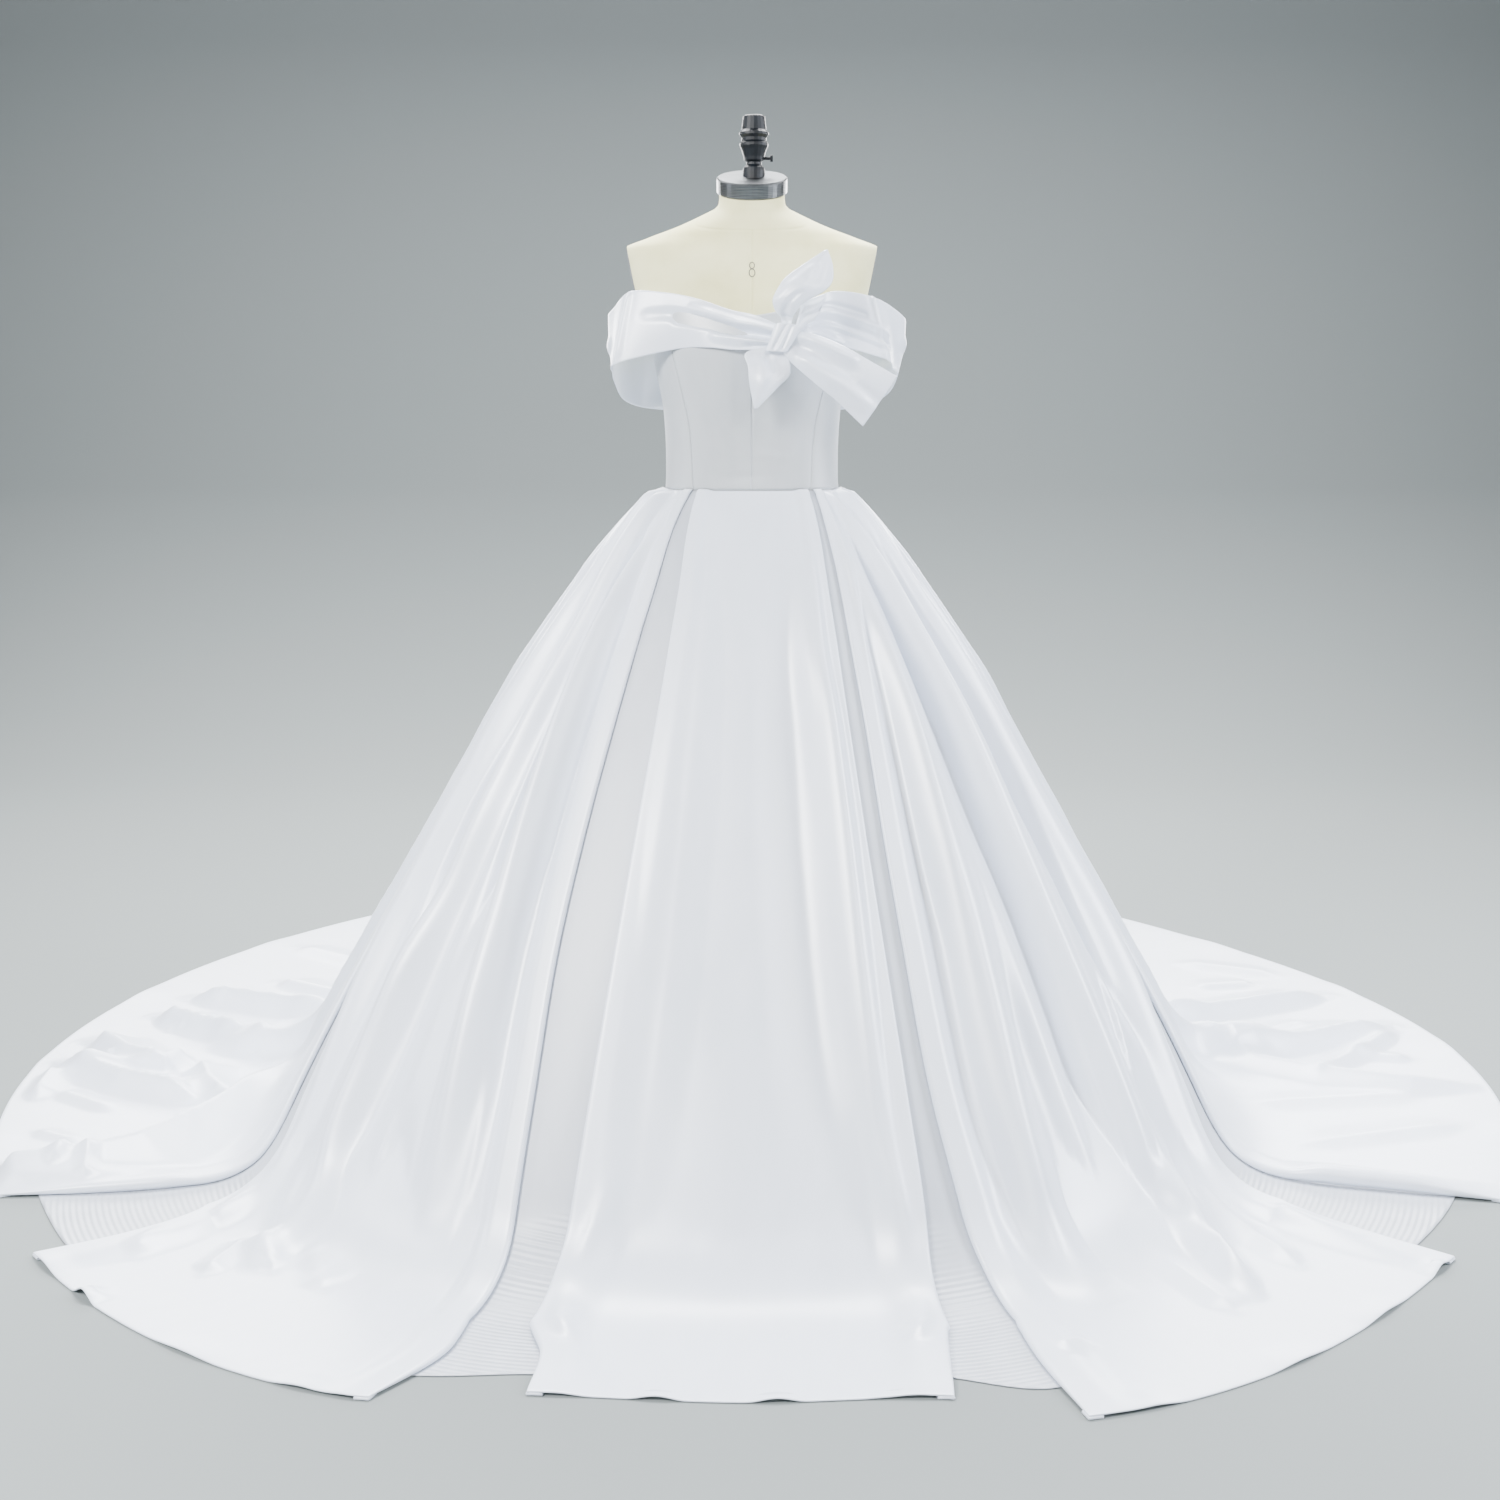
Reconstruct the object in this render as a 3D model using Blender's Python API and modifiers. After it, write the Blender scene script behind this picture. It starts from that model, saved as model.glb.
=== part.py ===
"""Off-the-shoulder satin wedding dress with a bow and a train, standing on its dress form.

Metres, +Z up. The origin is on the floor under the middle of the form's pole.
The front faces -Y and the wearer's left side is at +X. The skirt is cut in panels that
meet in inverted pleats, and each panel is a wall of cloth that comes down from the waist
seam, bends onto the floor and runs out to its hem.
"""
import math

import bpy
from mathutils import Matrix, Vector

# Driving sizes
CLOTH = 0.0015
SEAM_GAP = 0.0003
WAIST_HEIGHT = 1.0222
FORM_TO_BODICE = 0.0012
UNDER_BODICE_INSET = 0.0008
CONTACT_CENTRE_Y = 0.08
HEM_CENTRE_Y = 0.16
FLOOR_BEND = 0.10
SPRING_LENGTH = 0.08
PLEAT_PITCH_WAIST = 0.0052
PLEAT_PITCH_HEM = 0.0125
PLEAT_LEG_LIFT = 0.0006
UNDERLAY_TUCK_WAIST = 0.009
UNDERLAY_TUCK_HEM = 0.045
TUCK_TO_LEG = 0.7
PLATEAU_EXTRA = 0.010
FALLOFF = 0.06
BODICE_FOOT = WAIST_HEIGHT + SEAM_GAP
NECK_TILT = math.radians(19.0)
CAP_RADIUS = 0.0535
CAP_HEIGHT = 0.0232
FINIAL_X = 0.003
THUMBSCREW_Z = 1.5180
THUMBSCREW_STEM_RADIUS = 0.0025
THUMBSCREW_HOLE_RADIUS = 0.0029
THUMBSCREW_SEAT_X = 0.0110
THUMBSCREW_HEAD_X = 0.0245
THUMBSCREW_HEAD_THICKNESS = 0.0042
THUMBSCREW_HEAD_HEIGHT = 0.0100
THUMBSCREW_HEAD_DEPTH = 0.0060
POLE_RADIUS = 0.019
BASE_RADIUS = 0.21
BASE_HEIGHT = 0.020
COLLAR_RADIUS = 0.032
COLLAR_HEIGHT = 0.030

# Skirt plan: angle from the front, then how far from the plan's centre the slope meets the
# floor, and how far the hem lies
REACH = [
    # angle, contact, hem
    (-180, 0.80, 1.420),
    (-150, 0.80, 1.370),
    (-130, 0.80, 1.330),
    (-95, 0.80, 1.275),
    (-64, 0.82, 1.220),
    (-50, 0.83, 1.205),
    (-24, 0.79, 1.170),
    (-14, 0.765, 1.095),
    (0, 0.76, 1.080),
    (12, 0.76, 1.095),
    (19, 0.78, 1.180),
    (50, 0.80, 1.190),
    (64, 0.80, 1.220),
    (95, 0.775, 1.280),
    (130, 0.79, 1.290),
    (150, 0.80, 1.350),
    (180, 0.80, 1.420),
]

# How far the pleats spring out just below the waist seam
SPRING = [
    # angle, spring
    (-180, 0.050),
    (-90, 0.040),
    (-30, 0.022),
    (0, 0.016),
    (30, 0.022),
    (90, 0.034),
    (180, 0.050),
]

# Direction in which layers of the skirt are stacked, up from the horizontal
STACK_TILT = [
    # slope, tilt
    (0.00, 25.0),
    (0.06, 38.0),
    (0.20, 34.0),
    (0.88, 34.0),
    (1.00, 62.0),
    (1.12, 90.0),
    (2.00, 90.0),
]

# Folded edges of the panels, as angles from the front. Slope is 0 at the waist seam, 1 where
# the skirt meets the floor and 2 at the hem
PANEL_EDGES = [
    # slope, front left, front right, side left, side right, back of side left and right, train left and right
    (0.00, -44.0, 45.5, -49.0, 50.5, -80.0, 80.0, -86.0, 86.0),
    (0.05, -37.0, 38.5, -45.0, 43.0, -80.0, 80.0, -86.0, 86.0),
    (0.12, -30.5, 32.0, -40.0, 37.0, -80.0, 80.0, -85.5, 85.5),
    (0.20, -27.0, 28.0, -37.2, 32.5, -79.0, 79.5, -84.5, 85.0),
    (0.30, -24.5, 24.8, -34.8, 29.0, -78.0, 79.0, -83.0, 84.5),
    (0.45, -22.5, 22.0, -32.3, 25.4, -76.0, 78.0, -81.0, 83.5),
    (0.60, -21.2, 20.4, -30.0, 23.4, -73.0, 75.0, -78.0, 81.0),
    (0.75, -20.2, 19.3, -27.3, 22.2, -69.0, 70.0, -74.0, 76.0),
    (0.90, -19.4, 18.4, -25.2, 22.4, -64.0, 64.0, -69.0, 70.0),
    (1.00, -19.0, 17.2, -24.0, 22.4, -60.0, 60.0, -64.0, 65.0),
    (1.15, -17.7, 15.6, -22.8, 21.2, -56.5, 57.0, -63.0, 63.5),
    (1.50, -15.2, 14.0, -21.6, 19.8, -54.6, 54.6, -63.4, 63.5),
    (2.00, -14.0, 12.4, -22.6, 19.0, -54.4, 53.2, -65.0, 64.0),
]

# Where the skirt's sections are taken
PANEL_SLOPES = [0.0, 0.03, 0.08, 0.16, 0.27, 0.40, 0.54, 0.68, 0.80, 0.90, 0.98, 1.06, 1.16, 1.42, 1.72, 2.0]
UNDERLAY_HEM_SLOPE = [
    # angle, slope at which the underlay's own hem lies
    (-64, 1.82),
    (-54, 1.84),
    (-22, 1.62),
    (-14, 1.84),
    (12, 1.80),
    (20, 1.60),
    (54, 1.80),
    (64, 1.80),
]

# Soft folds: angle at the waist and at the hem, where the fold starts and ends down the
# slope, how far it stands out and its half width
FOLDS_SIDE_LEFT = [
    # top, foot, start, end, height, half width
    (-58.0, -31.0, 0.00, 1.30, 0.020, 0.050),
    (-66.0, -42.0, 0.00, 1.10, 0.024, 0.060),
    (-74.0, -50.0, 0.00, 1.60, 0.020, 0.055),
    (-56.0, -36.0, 0.60, 2.10, 0.014, 0.080),
]
FOLDS_SIDE_RIGHT = [
    # top, foot, start, end, height, half width
    (58.0, 30.0, 0.00, 1.50, 0.026, 0.060),
    (66.0, 42.0, 0.00, 1.40, 0.028, 0.065),
    (74.0, 51.0, 0.00, 1.20, 0.020, 0.055),
    (64.0, 47.0, 0.70, 2.10, 0.016, 0.070),
]
FOLDS_TRAIN = [
    # top, foot, start, end, height, half width
    (100.0, 92.0, 0.00, 1.50, 0.030, 0.070),
    (113.0, 112.0, 0.00, 1.30, 0.034, 0.075),
    (127.0, 131.0, 0.00, 1.60, 0.030, 0.080),
    (142.0, 148.0, 0.00, 1.40, 0.036, 0.085),
    (158.0, 163.0, 0.00, 1.70, 0.032, 0.080),
    (96.0, 74.0, 0.85, 2.10, 0.016, 0.060),
    (105.0, 103.0, 1.10, 2.10, 0.018, 0.090),
    (130.0, 122.0, 1.20, 2.10, 0.014, 0.080),
    (150.0, 140.0, 1.10, 2.10, 0.016, 0.090),
]

# Dress form: height, half width, front depth, back depth
FORM_SECTIONS = [
    (0.740, 0.150, 0.095, 0.112),
    (0.800, 0.168, 0.108, 0.130),
    (0.860, 0.166, 0.107, 0.126),
    (0.930, 0.1490, 0.0990, 0.1080),
    (0.985, 0.1380, 0.0950, 0.0960),
    (1.0225, 0.1325, 0.0936, 0.0912),
    (1.070, 0.1312, 0.0955, 0.0900),
    (1.110, 0.1322, 0.1000, 0.0922),
    (1.150, 0.1355, 0.1070, 0.0970),
    (1.200, 0.1450, 0.1160, 0.1020),
    (1.240, 0.1530, 0.1200, 0.1045),
    (1.280, 0.1640, 0.1120, 0.1050),
    (1.320, 0.1800, 0.0980, 0.1020),
    (1.360, 0.1920, 0.0820, 0.0930),
    (1.385, 0.1960, 0.0690, 0.0790),
    (1.400, 0.1600, 0.0630, 0.0710),
    (1.415, 0.1200, 0.0590, 0.0650),
    (1.430, 0.0860, 0.0555, 0.0600),
    (1.445, 0.0550, 0.0520, 0.0550),
    (1.457, 0.0500, 0.0500, 0.0505),
    (1.4675, 0.0500, 0.0500, 0.0500),
]
FORM_SQUARENESS = 2.25
NECK_SLANT_START = 1.400
NECK_TOP = 1.4675

# Flat arm plates that close the form's armholes: where the plate's plane crosses two heights
ARM_PLATE_HIGH = (0.1900, 1.385)
ARM_PLATE_LOW = (0.1740, 1.300)
ARM_PLATE_THICKNESS = 0.003
ARM_PLATE_CENTRE_Z = 1.335
ARM_PLATE_HALF_HEIGHT = 0.046
ARM_PLATE_HALF_DEPTH = 0.040

BODICE_TOP = [
    # angle, height of the top edge
    (0, 1.2790),
    (10, 1.2850),
    (22, 1.2930),
    (36, 1.2990),
    (52, 1.2930),
    (70, 1.2750),
    (90, 1.2550),
    (120, 1.2450),
    (180, 1.2400),
]
BODICE_SEAMS = [
    # height, half width of the seam between front and side front
    (1.0225, 0.0900),
    (1.110, 0.0950),
    (1.170, 0.1070),
    (1.220, 0.1190),
    (1.300, 0.1300),
]


def table_value(rows, at, column=1):
    """Straight-line reading of a table whose first column rises."""
    previous = rows[0]
    if at <= previous[0]:
        return previous[column]
    for row in rows[1:]:
        if at <= row[0]:
            share = (at - previous[0]) / (row[0] - previous[0])
            return previous[column] + share * (row[column] - previous[column])
        previous = row
    return previous[column]


def smooth_value(rows, at, column=1):
    """Reading of a table along a smooth curve through its rows."""
    last = len(rows) - 1
    if at <= rows[0][0]:
        return rows[0][column]
    if at >= rows[last][0]:
        return rows[last][column]
    index = 0
    while rows[index + 1][0] < at:
        index += 1
    low = rows[index]
    high = rows[index + 1]
    before = rows[max(index - 1, 0)]
    after = rows[min(index + 2, last)]
    span = high[0] - low[0]
    slope_low = (high[column] - before[column]) / (high[0] - before[0])
    slope_high = (after[column] - low[column]) / (after[0] - low[0])
    share = (at - low[0]) / span
    square = share * share
    cube = square * share
    value = (2 * cube - 3 * square + 1) * low[column]
    value += (cube - 2 * square + share) * span * slope_low
    value += (3 * square - 2 * cube) * high[column]
    value += (cube - square) * span * slope_high
    return value


def soft_step(share):
    share = min(max(share, 0.0), 1.0)
    return share * share * (3.0 - 2.0 * share)


def soft_bump(distance, half_width):
    """Height from 1 on the fold's line down to 0 at its half width."""
    share = abs(distance) / half_width
    if share >= 1.0:
        return 0.0
    return 0.5 + 0.5 * math.cos(math.pi * share)


def start_scene():
    for item in list(bpy.data.objects):
        bpy.data.objects.remove(item)
    parts = bpy.data.collections.new("wedding_dress_on_form")
    cutters = bpy.data.collections.new("cutters")
    bpy.context.scene.collection.children.link(parts)
    bpy.context.scene.collection.children.link(cutters)
    return parts, cutters


def make_material(name, colour, roughness, metallic):
    material = bpy.data.materials.new(name)
    material.use_nodes = True
    shader = material.node_tree.nodes["Principled BSDF"]
    shader.inputs["Base Color"].default_value = (*colour, 1.0)
    shader.inputs["Roughness"].default_value = roughness
    shader.inputs["Metallic"].default_value = metallic
    return material


def add_object(name, mesh, material, collection):
    mesh.materials.append(material)
    piece = bpy.data.objects.new(name, mesh)
    collection.objects.link(piece)
    return piece


def add_cutter(piece, collection):
    for home in list(piece.users_collection):
        home.objects.unlink(piece)
    collection.objects.link(piece)
    piece.hide_render = True
    piece.display_type = "WIRE"


def loft_mesh(name, rows, closed_round=False):
    """Faces between rows of points, each row with the same number of points."""
    count = len(rows[0])
    points = [point for row in rows for point in row]
    faces = []
    columns = count if closed_round else count - 1
    for row in range(len(rows) - 1):
        for column in range(columns):
            following = (column + 1) % count
            a = row * count + column
            b = row * count + following
            c = (row + 1) * count + following
            d = (row + 1) * count + column
            faces.append((a, d, c, b))
    mesh = bpy.data.meshes.new(name)
    mesh.from_pydata(points, [], faces)
    return mesh


def cloth_panel(name, rows, material, collection):
    """Wall of cloth: the rows give its outer face and it is thickened inwards."""
    mesh = loft_mesh(name, rows)
    mesh.shade_smooth()
    panel = add_object(name, mesh, material, collection)
    wall = panel.modifiers.new("cloth wall", "SOLIDIFY")
    wall.thickness = CLOTH
    wall.offset = -1.0
    wall.use_even_offset = False
    wall.use_quality_normals = True
    return panel


# Skirt


def waist_radius(sine, cosine):
    """How far the bodice's outer face is from the axis at the waist seam."""
    outset = FORM_TO_BODICE + CLOTH
    half_width = smooth_value(FORM_SECTIONS, BODICE_FOOT, 1) + outset
    half_depth = smooth_value(FORM_SECTIONS, BODICE_FOOT, 2 if cosine > 0 else 3) + outset
    across = (abs(sine) / half_width) ** FORM_SQUARENESS
    along = (abs(cosine) / half_depth) ** FORM_SQUARENESS
    return (across + along) ** (-1.0 / FORM_SQUARENESS)


def skirt_base(angle, slope):
    """Point of the skirt's lowest layer at an angle and a slope from 0 to 2."""
    turn = math.radians(angle)
    sine = math.sin(turn)
    cosine = math.cos(turn)
    waist = waist_radius(sine, cosine)
    contact = smooth_value(REACH, angle, 1)
    hem = smooth_value(REACH, angle, 2)
    top = Vector((waist * sine, -waist * cosine, WAIST_HEIGHT))
    corner = Vector((contact * sine, CONTACT_CENTRE_Y - contact * cosine, CLOTH))
    foot = Vector((hem * sine, HEM_CENTRE_Y - hem * cosine, CLOTH))
    up = corner + (top - corner).normalized() * FLOOR_BEND
    out = corner + (foot - corner).normalized() * FLOOR_BEND
    if slope <= 0.9:
        share = slope / 0.9
        point = top.lerp(up, share)
        spring = smooth_value(SPRING, angle) * (1.0 - math.exp(-share / SPRING_LENGTH)) * (1.0 - share)
        return point + Vector((sine, -cosine, 0.0)) * spring
    if slope <= 1.1:
        share = (slope - 0.9) / 0.2
        return up.lerp(corner, share).lerp(corner.lerp(out, share), share)
    return out.lerp(foot, (slope - 1.1) / 0.9)


def skirt_radius(angle, slope):
    point = skirt_base(angle, slope)
    centre_y = HEM_CENTRE_Y if slope > 1.1 else CONTACT_CENTRE_Y * slope / 1.1
    return math.hypot(point.x, point.y - centre_y)


def skirt_point(angle, slope, lift):
    """Point of a layer that stands a lift above the lowest layer."""
    turn = math.radians(angle)
    tilt = math.radians(table_value(STACK_TILT, slope))
    level = math.cos(tilt)
    stack = Vector((math.sin(turn) * level, -math.cos(turn) * level, math.sin(tilt)))
    return skirt_base(angle, slope) + stack * lift


def fold_lift(folds, angle, slope):
    """How far the soft folds of a panel stand out at a point."""
    radius = skirt_radius(angle, slope)
    total = 0.0
    for top, foot, start, end, height, half_width in folds:
        line = top + (foot - top) * min(soft_step(slope / 0.9) * 0.75 + slope * 0.125, 1.0)
        distance = math.radians(angle - line) * radius
        strength = soft_step((slope - start) / 0.12 + 0.25) * soft_step((end - slope) / 0.55)
        reach = half_width * (0.22 + 0.78 * min(slope / 0.5, 1.0))
        settle = 1.0 if slope < 0.85 else 1.0 - 0.55 * soft_step((slope - 0.85) / 0.35)
        growth = 0.25 + 0.75 * soft_step(slope / 0.25)
        total += height * strength * settle * growth * soft_bump(distance, reach)
    return total


def blend_waist_to_hem(at_waist, at_hem, slope):
    return at_waist + (at_hem - at_waist) * min(slope / 1.2, 1.0)


def outer_panel_row(left, right, slope, folds, columns, fold_left, fold_right, edge_gap):
    """One section of a panel, with its edges turned under where they are folded."""
    radius = skirt_radius(0.5 * (left + right), slope)
    degree = math.degrees(1.0 / radius)
    pitch = blend_waist_to_hem(PLEAT_PITCH_WAIST, PLEAT_PITCH_HEM, slope)
    tuck = blend_waist_to_hem(UNDERLAY_TUCK_WAIST, UNDERLAY_TUCK_HEM, slope)
    leg = tuck * TUCK_TO_LEG
    turn_radius = 0.5 * (pitch - PLEAT_LEG_LIFT)
    plateau = tuck + PLATEAU_EXTRA * min(slope / 0.2, 1.0) + turn_radius
    falloff = plateau + FALLOFF * (0.2 + 0.8 * min(slope / 0.6, 1.0))

    def top_lift(angle):
        near_left = (angle - left) / degree if fold_left else falloff
        near_right = (right - angle) / degree if fold_right else falloff
        near = min(near_left, near_right)
        layer = pitch * (1.0 - soft_step((near - plateau) / (falloff - plateau)))
        calm = soft_step((near - plateau * 0.6) / (falloff - plateau * 0.6))
        return layer + fold_lift(folds, angle, slope) * calm

    def hook(edge, direction):
        section = [(edge + direction * leg * degree, PLEAT_LEG_LIFT)]
        section.append((edge + direction * 0.5 * (leg + turn_radius) * degree, PLEAT_LEG_LIFT * 1.5))
        for step in range(4):
            swing = math.pi * step / 3
            along = turn_radius * (1.0 - math.sin(swing))
            lift = 0.5 * (pitch + PLEAT_LEG_LIFT) - turn_radius * math.cos(swing)
            section.append((edge + direction * along * degree, lift))
        section.append((edge + direction * plateau * degree, pitch))
        return section

    section = []
    start = left
    end = right
    if fold_left:
        section = hook(left, 1.0)
        start = left + falloff * degree
    else:
        start = left + edge_gap * degree
    if fold_right:
        end = right - falloff * degree
    else:
        end = right - edge_gap * degree
    for column in range(columns + 1):
        angle = start + (end - start) * column / columns
        section.append((angle, top_lift(angle)))
    if fold_right:
        section += list(reversed(hook(right, -1.0)))
    return [skirt_point(angle, slope, lift) for angle, lift in section]


def panel_edge(slope, column):
    return smooth_value(PANEL_EDGES, slope, column)


def build_outer_panel(name, left_column, right_column, folds, columns, material, parts):
    """Panel between two columns of the table of edges. A column of 0 is the centre-back seam."""
    rows = []
    for slope in PANEL_SLOPES:
        left = panel_edge(slope, left_column) if left_column else -180.0
        right = panel_edge(slope, right_column) if right_column else 180.0
        row = outer_panel_row(left, right, slope, folds, columns, bool(left_column), bool(right_column), SEAM_GAP / 2)
        rows.append(row)
    return cloth_panel(name, rows, material, parts)


def build_underlay(name, left_column, right_column, columns, material, parts):
    """Bottom layer of an inverted pleat, which shows between two folded edges."""
    rows = []
    for slope in PANEL_SLOPES:
        tuck = blend_waist_to_hem(UNDERLAY_TUCK_WAIST, UNDERLAY_TUCK_HEM, slope)
        row = []
        for column in range(columns + 1):
            share = column / columns
            middle = 0.5 * (panel_edge(slope, left_column) + panel_edge(slope, right_column))
            lowered = slope
            if slope > 1.1:
                hem = table_value(UNDERLAY_HEM_SLOPE, middle)
                lowered = 1.1 + (slope - 1.1) * (hem - 1.1) / 0.9
            left = panel_edge(lowered, left_column)
            right = panel_edge(lowered, right_column)
            degree = math.degrees(1.0 / skirt_radius(middle, lowered))
            start = left - tuck * degree
            end = right + tuck * degree
            row.append(skirt_point(start + (end - start) * share, lowered, 0.0))
        rows.append(row)
    return cloth_panel(name, rows, material, parts)


def mirrored_folds(folds):
    return [(-top, -foot, start, end, height, width) for top, foot, start, end, height, width in folds]


def build_skirt(satin, parts):
    build_outer_panel("skirt_front", 1, 2, [], 8, satin, parts)
    build_outer_panel("skirt_side_left", 5, 3, FOLDS_SIDE_LEFT, 16, satin, parts)
    build_outer_panel("skirt_side_right", 4, 6, FOLDS_SIDE_RIGHT, 16, satin, parts)
    build_outer_panel("train_left", 0, 7, mirrored_folds(FOLDS_TRAIN), 20, satin, parts)
    build_outer_panel("train_right", 8, 0, FOLDS_TRAIN, 20, satin, parts)
    build_underlay("pleat_front_left", 3, 1, 3, satin, parts)
    build_underlay("pleat_front_right", 2, 4, 3, satin, parts)
    build_underlay("pleat_side_left", 7, 5, 3, satin, parts)
    build_underlay("pleat_side_right", 6, 8, 3, satin, parts)


# Form and bodice


def form_outline(angle, height, outset):
    """Point on the form's skin at an angle from the front, moved out by the outset."""
    turn = math.radians(angle)
    half_width = smooth_value(FORM_SECTIONS, height, 1) + outset
    depth_column = 2 if math.cos(turn) > 0 else 3
    half_depth = smooth_value(FORM_SECTIONS, height, depth_column) + outset
    power = 2.0 / FORM_SQUARENESS
    x = half_width * math.copysign(abs(math.sin(turn)) ** power, math.sin(turn))
    y = -half_depth * math.copysign(abs(math.cos(turn)) ** power, math.cos(turn))
    return x, y


def arm_plate_x(height):
    """How far out the flat armhole face lies at a height."""
    share = (height - ARM_PLATE_LOW[1]) / (ARM_PLATE_HIGH[1] - ARM_PLATE_LOW[1])
    return ARM_PLATE_LOW[0] + share * (ARM_PLATE_HIGH[0] - ARM_PLATE_LOW[0])


def form_point(angle, height):
    x, y = form_outline(angle, height, -UNDER_BODICE_INSET if 1.03 < height < 1.27 else 0.0)
    limit = arm_plate_x(height)
    if height > ARM_PLATE_LOW[1] - 0.03:
        x = math.copysign(min(abs(x), limit), x)
    slant = soft_step((height - NECK_SLANT_START) / (NECK_TOP - NECK_SLANT_START))
    return Vector((x, y, height + y * math.tan(NECK_TILT) * slant))


def build_form_torso(linen, parts):
    around = 40
    heights = [0.740, 0.830, 0.930, 0.985, 1.0225, 1.050, 1.080, 1.110, 1.140, 1.170, 1.200, 1.220, 1.240, 1.260, 1.280]
    heights += [1.310, 1.340, 1.365, 1.385, 1.393, 1.402, 1.414, 1.425, 1.435, 1.445, 1.457, 1.4675]
    rows = []
    for height in reversed(heights):
        rows.append([form_point(360.0 * step / around, height) for step in range(around)])
    mesh = loft_mesh("form_torso", rows, closed_round=True)
    count = len(rows)
    top = list(range(around))
    foot = list(range((count - 1) * around, count * around))
    points = [vertex.co.copy() for vertex in mesh.vertices]
    faces = [tuple(face.vertices) for face in mesh.polygons]
    faces.append(tuple(top))
    faces.append(tuple(reversed(foot)))
    bpy.data.meshes.remove(mesh)
    mesh = bpy.data.meshes.new("form_torso")
    mesh.from_pydata(points, [], faces)
    mesh.shade_smooth()
    mesh.set_sharp_from_angle(angle=math.radians(50.0))
    return add_object("form_torso", mesh, linen, parts)


def build_arm_plate(name, side, grey, parts):
    """Thin oval plate that lies on the form's flat armhole face."""
    rise = ARM_PLATE_HIGH[1] - ARM_PLATE_LOW[1]
    run = ARM_PLATE_HIGH[0] - ARM_PLATE_LOW[0]
    lean = math.atan2(run, rise)
    bpy.ops.mesh.primitive_cylinder_add(vertices=24, radius=1.0, depth=ARM_PLATE_THICKNESS)
    plate = bpy.context.object
    plate.name = name
    plate.data.name = name
    plate.data.transform(Matrix.Diagonal((ARM_PLATE_HALF_HEIGHT, ARM_PLATE_HALF_DEPTH, 1.0, 1.0)))
    plate.rotation_euler = (0.0, side * (math.radians(90.0) + lean), 0.0)
    stand_off = (SEAM_GAP + ARM_PLATE_THICKNESS / 2) / math.cos(lean)
    plate.location = (side * (arm_plate_x(ARM_PLATE_CENTRE_Z) + stand_off), 0.0, ARM_PLATE_CENTRE_Z)
    plate.data.materials.append(grey)
    for home in list(plate.users_collection):
        home.objects.unlink(plate)
    parts.objects.link(plate)
    return plate


def bodice_point(angle, share):
    """Point on the bodice's outer face, share 0 at its top edge and 1 at the waist seam."""
    top = smooth_value(BODICE_TOP, abs(angle))
    height = top + (BODICE_FOOT - top) * share
    x, y = form_outline(angle, height, FORM_TO_BODICE + CLOTH)
    return Vector((x, y, height))


def bodice_seam_angle(share):
    """Angle of the princess seam at a share of the way down."""
    height = 1.295 + (BODICE_FOOT - 1.295) * share
    half_width = smooth_value(BODICE_SEAMS, height)
    edge = smooth_value(FORM_SECTIONS, height, 1) + FORM_TO_BODICE + CLOTH
    return math.degrees(math.asin((half_width / edge) ** (FORM_SQUARENESS / 2.0)))


def build_bodice_panel(name, side, first, last, columns, satin, parts):
    """Bodice panel between two seams, each the word front, princess, side or back."""
    rows_down = 8
    rows = []
    for level in range(rows_down + 1):
        share = level / rows_down
        seam = {"front": 0.0, "princess": bodice_seam_angle(share), "side": 90.0, "back": 180.0}
        gap = math.degrees(SEAM_GAP / 2 / 0.10) * 1.3
        start = seam[first] + gap
        end = seam[last] - gap
        row = []
        for column in range(columns + 1):
            angle = start + (end - start) * column / columns
            row.append(bodice_point(side * angle, share))
        if side < 0:
            row.reverse()
        rows.append(row)
    return cloth_panel(name, rows, satin, parts)


def build_bodice(satin, parts):
    for word, side in (("left", -1), ("right", 1)):
        build_bodice_panel("bodice_front_" + word, side, "front", "princess", 6, satin, parts)
        build_bodice_panel("bodice_side_" + word, side, "princess", "side", 5, satin, parts)
        build_bodice_panel("bodice_back_" + word, side, "side", "back", 8, satin, parts)


# Band, sleeves and bow


def bodice_depth(x, height, facing, standoff):
    """How far in front of the axis (-) or behind it (+) a point lies over the bodice's outer face."""
    outset = FORM_TO_BODICE + CLOTH + standoff
    half_width = smooth_value(FORM_SECTIONS, height, 1) + outset
    half_depth = smooth_value(FORM_SECTIONS, height, 2 if facing < 0 else 3) + outset
    share = 1.0 - (abs(x) / half_width) ** FORM_SQUARENESS
    return facing * half_depth * share ** (1.0 / FORM_SQUARENESS)


def ribbon(name, stations, across, satin, parts):
    """Strip of cloth through stations, each with a point of the upper edge, one of the lower
    edge, and how far the strip swells out between them. Seen from outside it runs to the right.
    """
    steps = 2
    count = len(stations)
    columns = []
    for column in range(7):
        columns.append([(index, station[column]) for index, station in enumerate(stations)])
    smooth = []
    for index in range((count - 1) * steps + 1):
        smooth.append([smooth_value(rows, index / steps) for rows in columns])
    rows = []
    for index, values in enumerate(smooth):
        upper = Vector(values[0:3])
        lower = Vector(values[3:6])
        ahead = smooth[min(index + 1, len(smooth) - 1)]
        behind = smooth[max(index - 1, 0)]
        along = Vector(ahead[0:3]) + Vector(ahead[3:6]) - Vector(behind[0:3]) - Vector(behind[3:6])
        out = along.cross(upper - lower).normalized()
        row = []
        for step in range(across + 1):
            share = step / across
            row.append(lower.lerp(upper, share) + out * values[6] * math.sin(math.pi * share))
        rows.append(row)
    return cloth_panel(name, rows, satin, parts)


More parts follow.
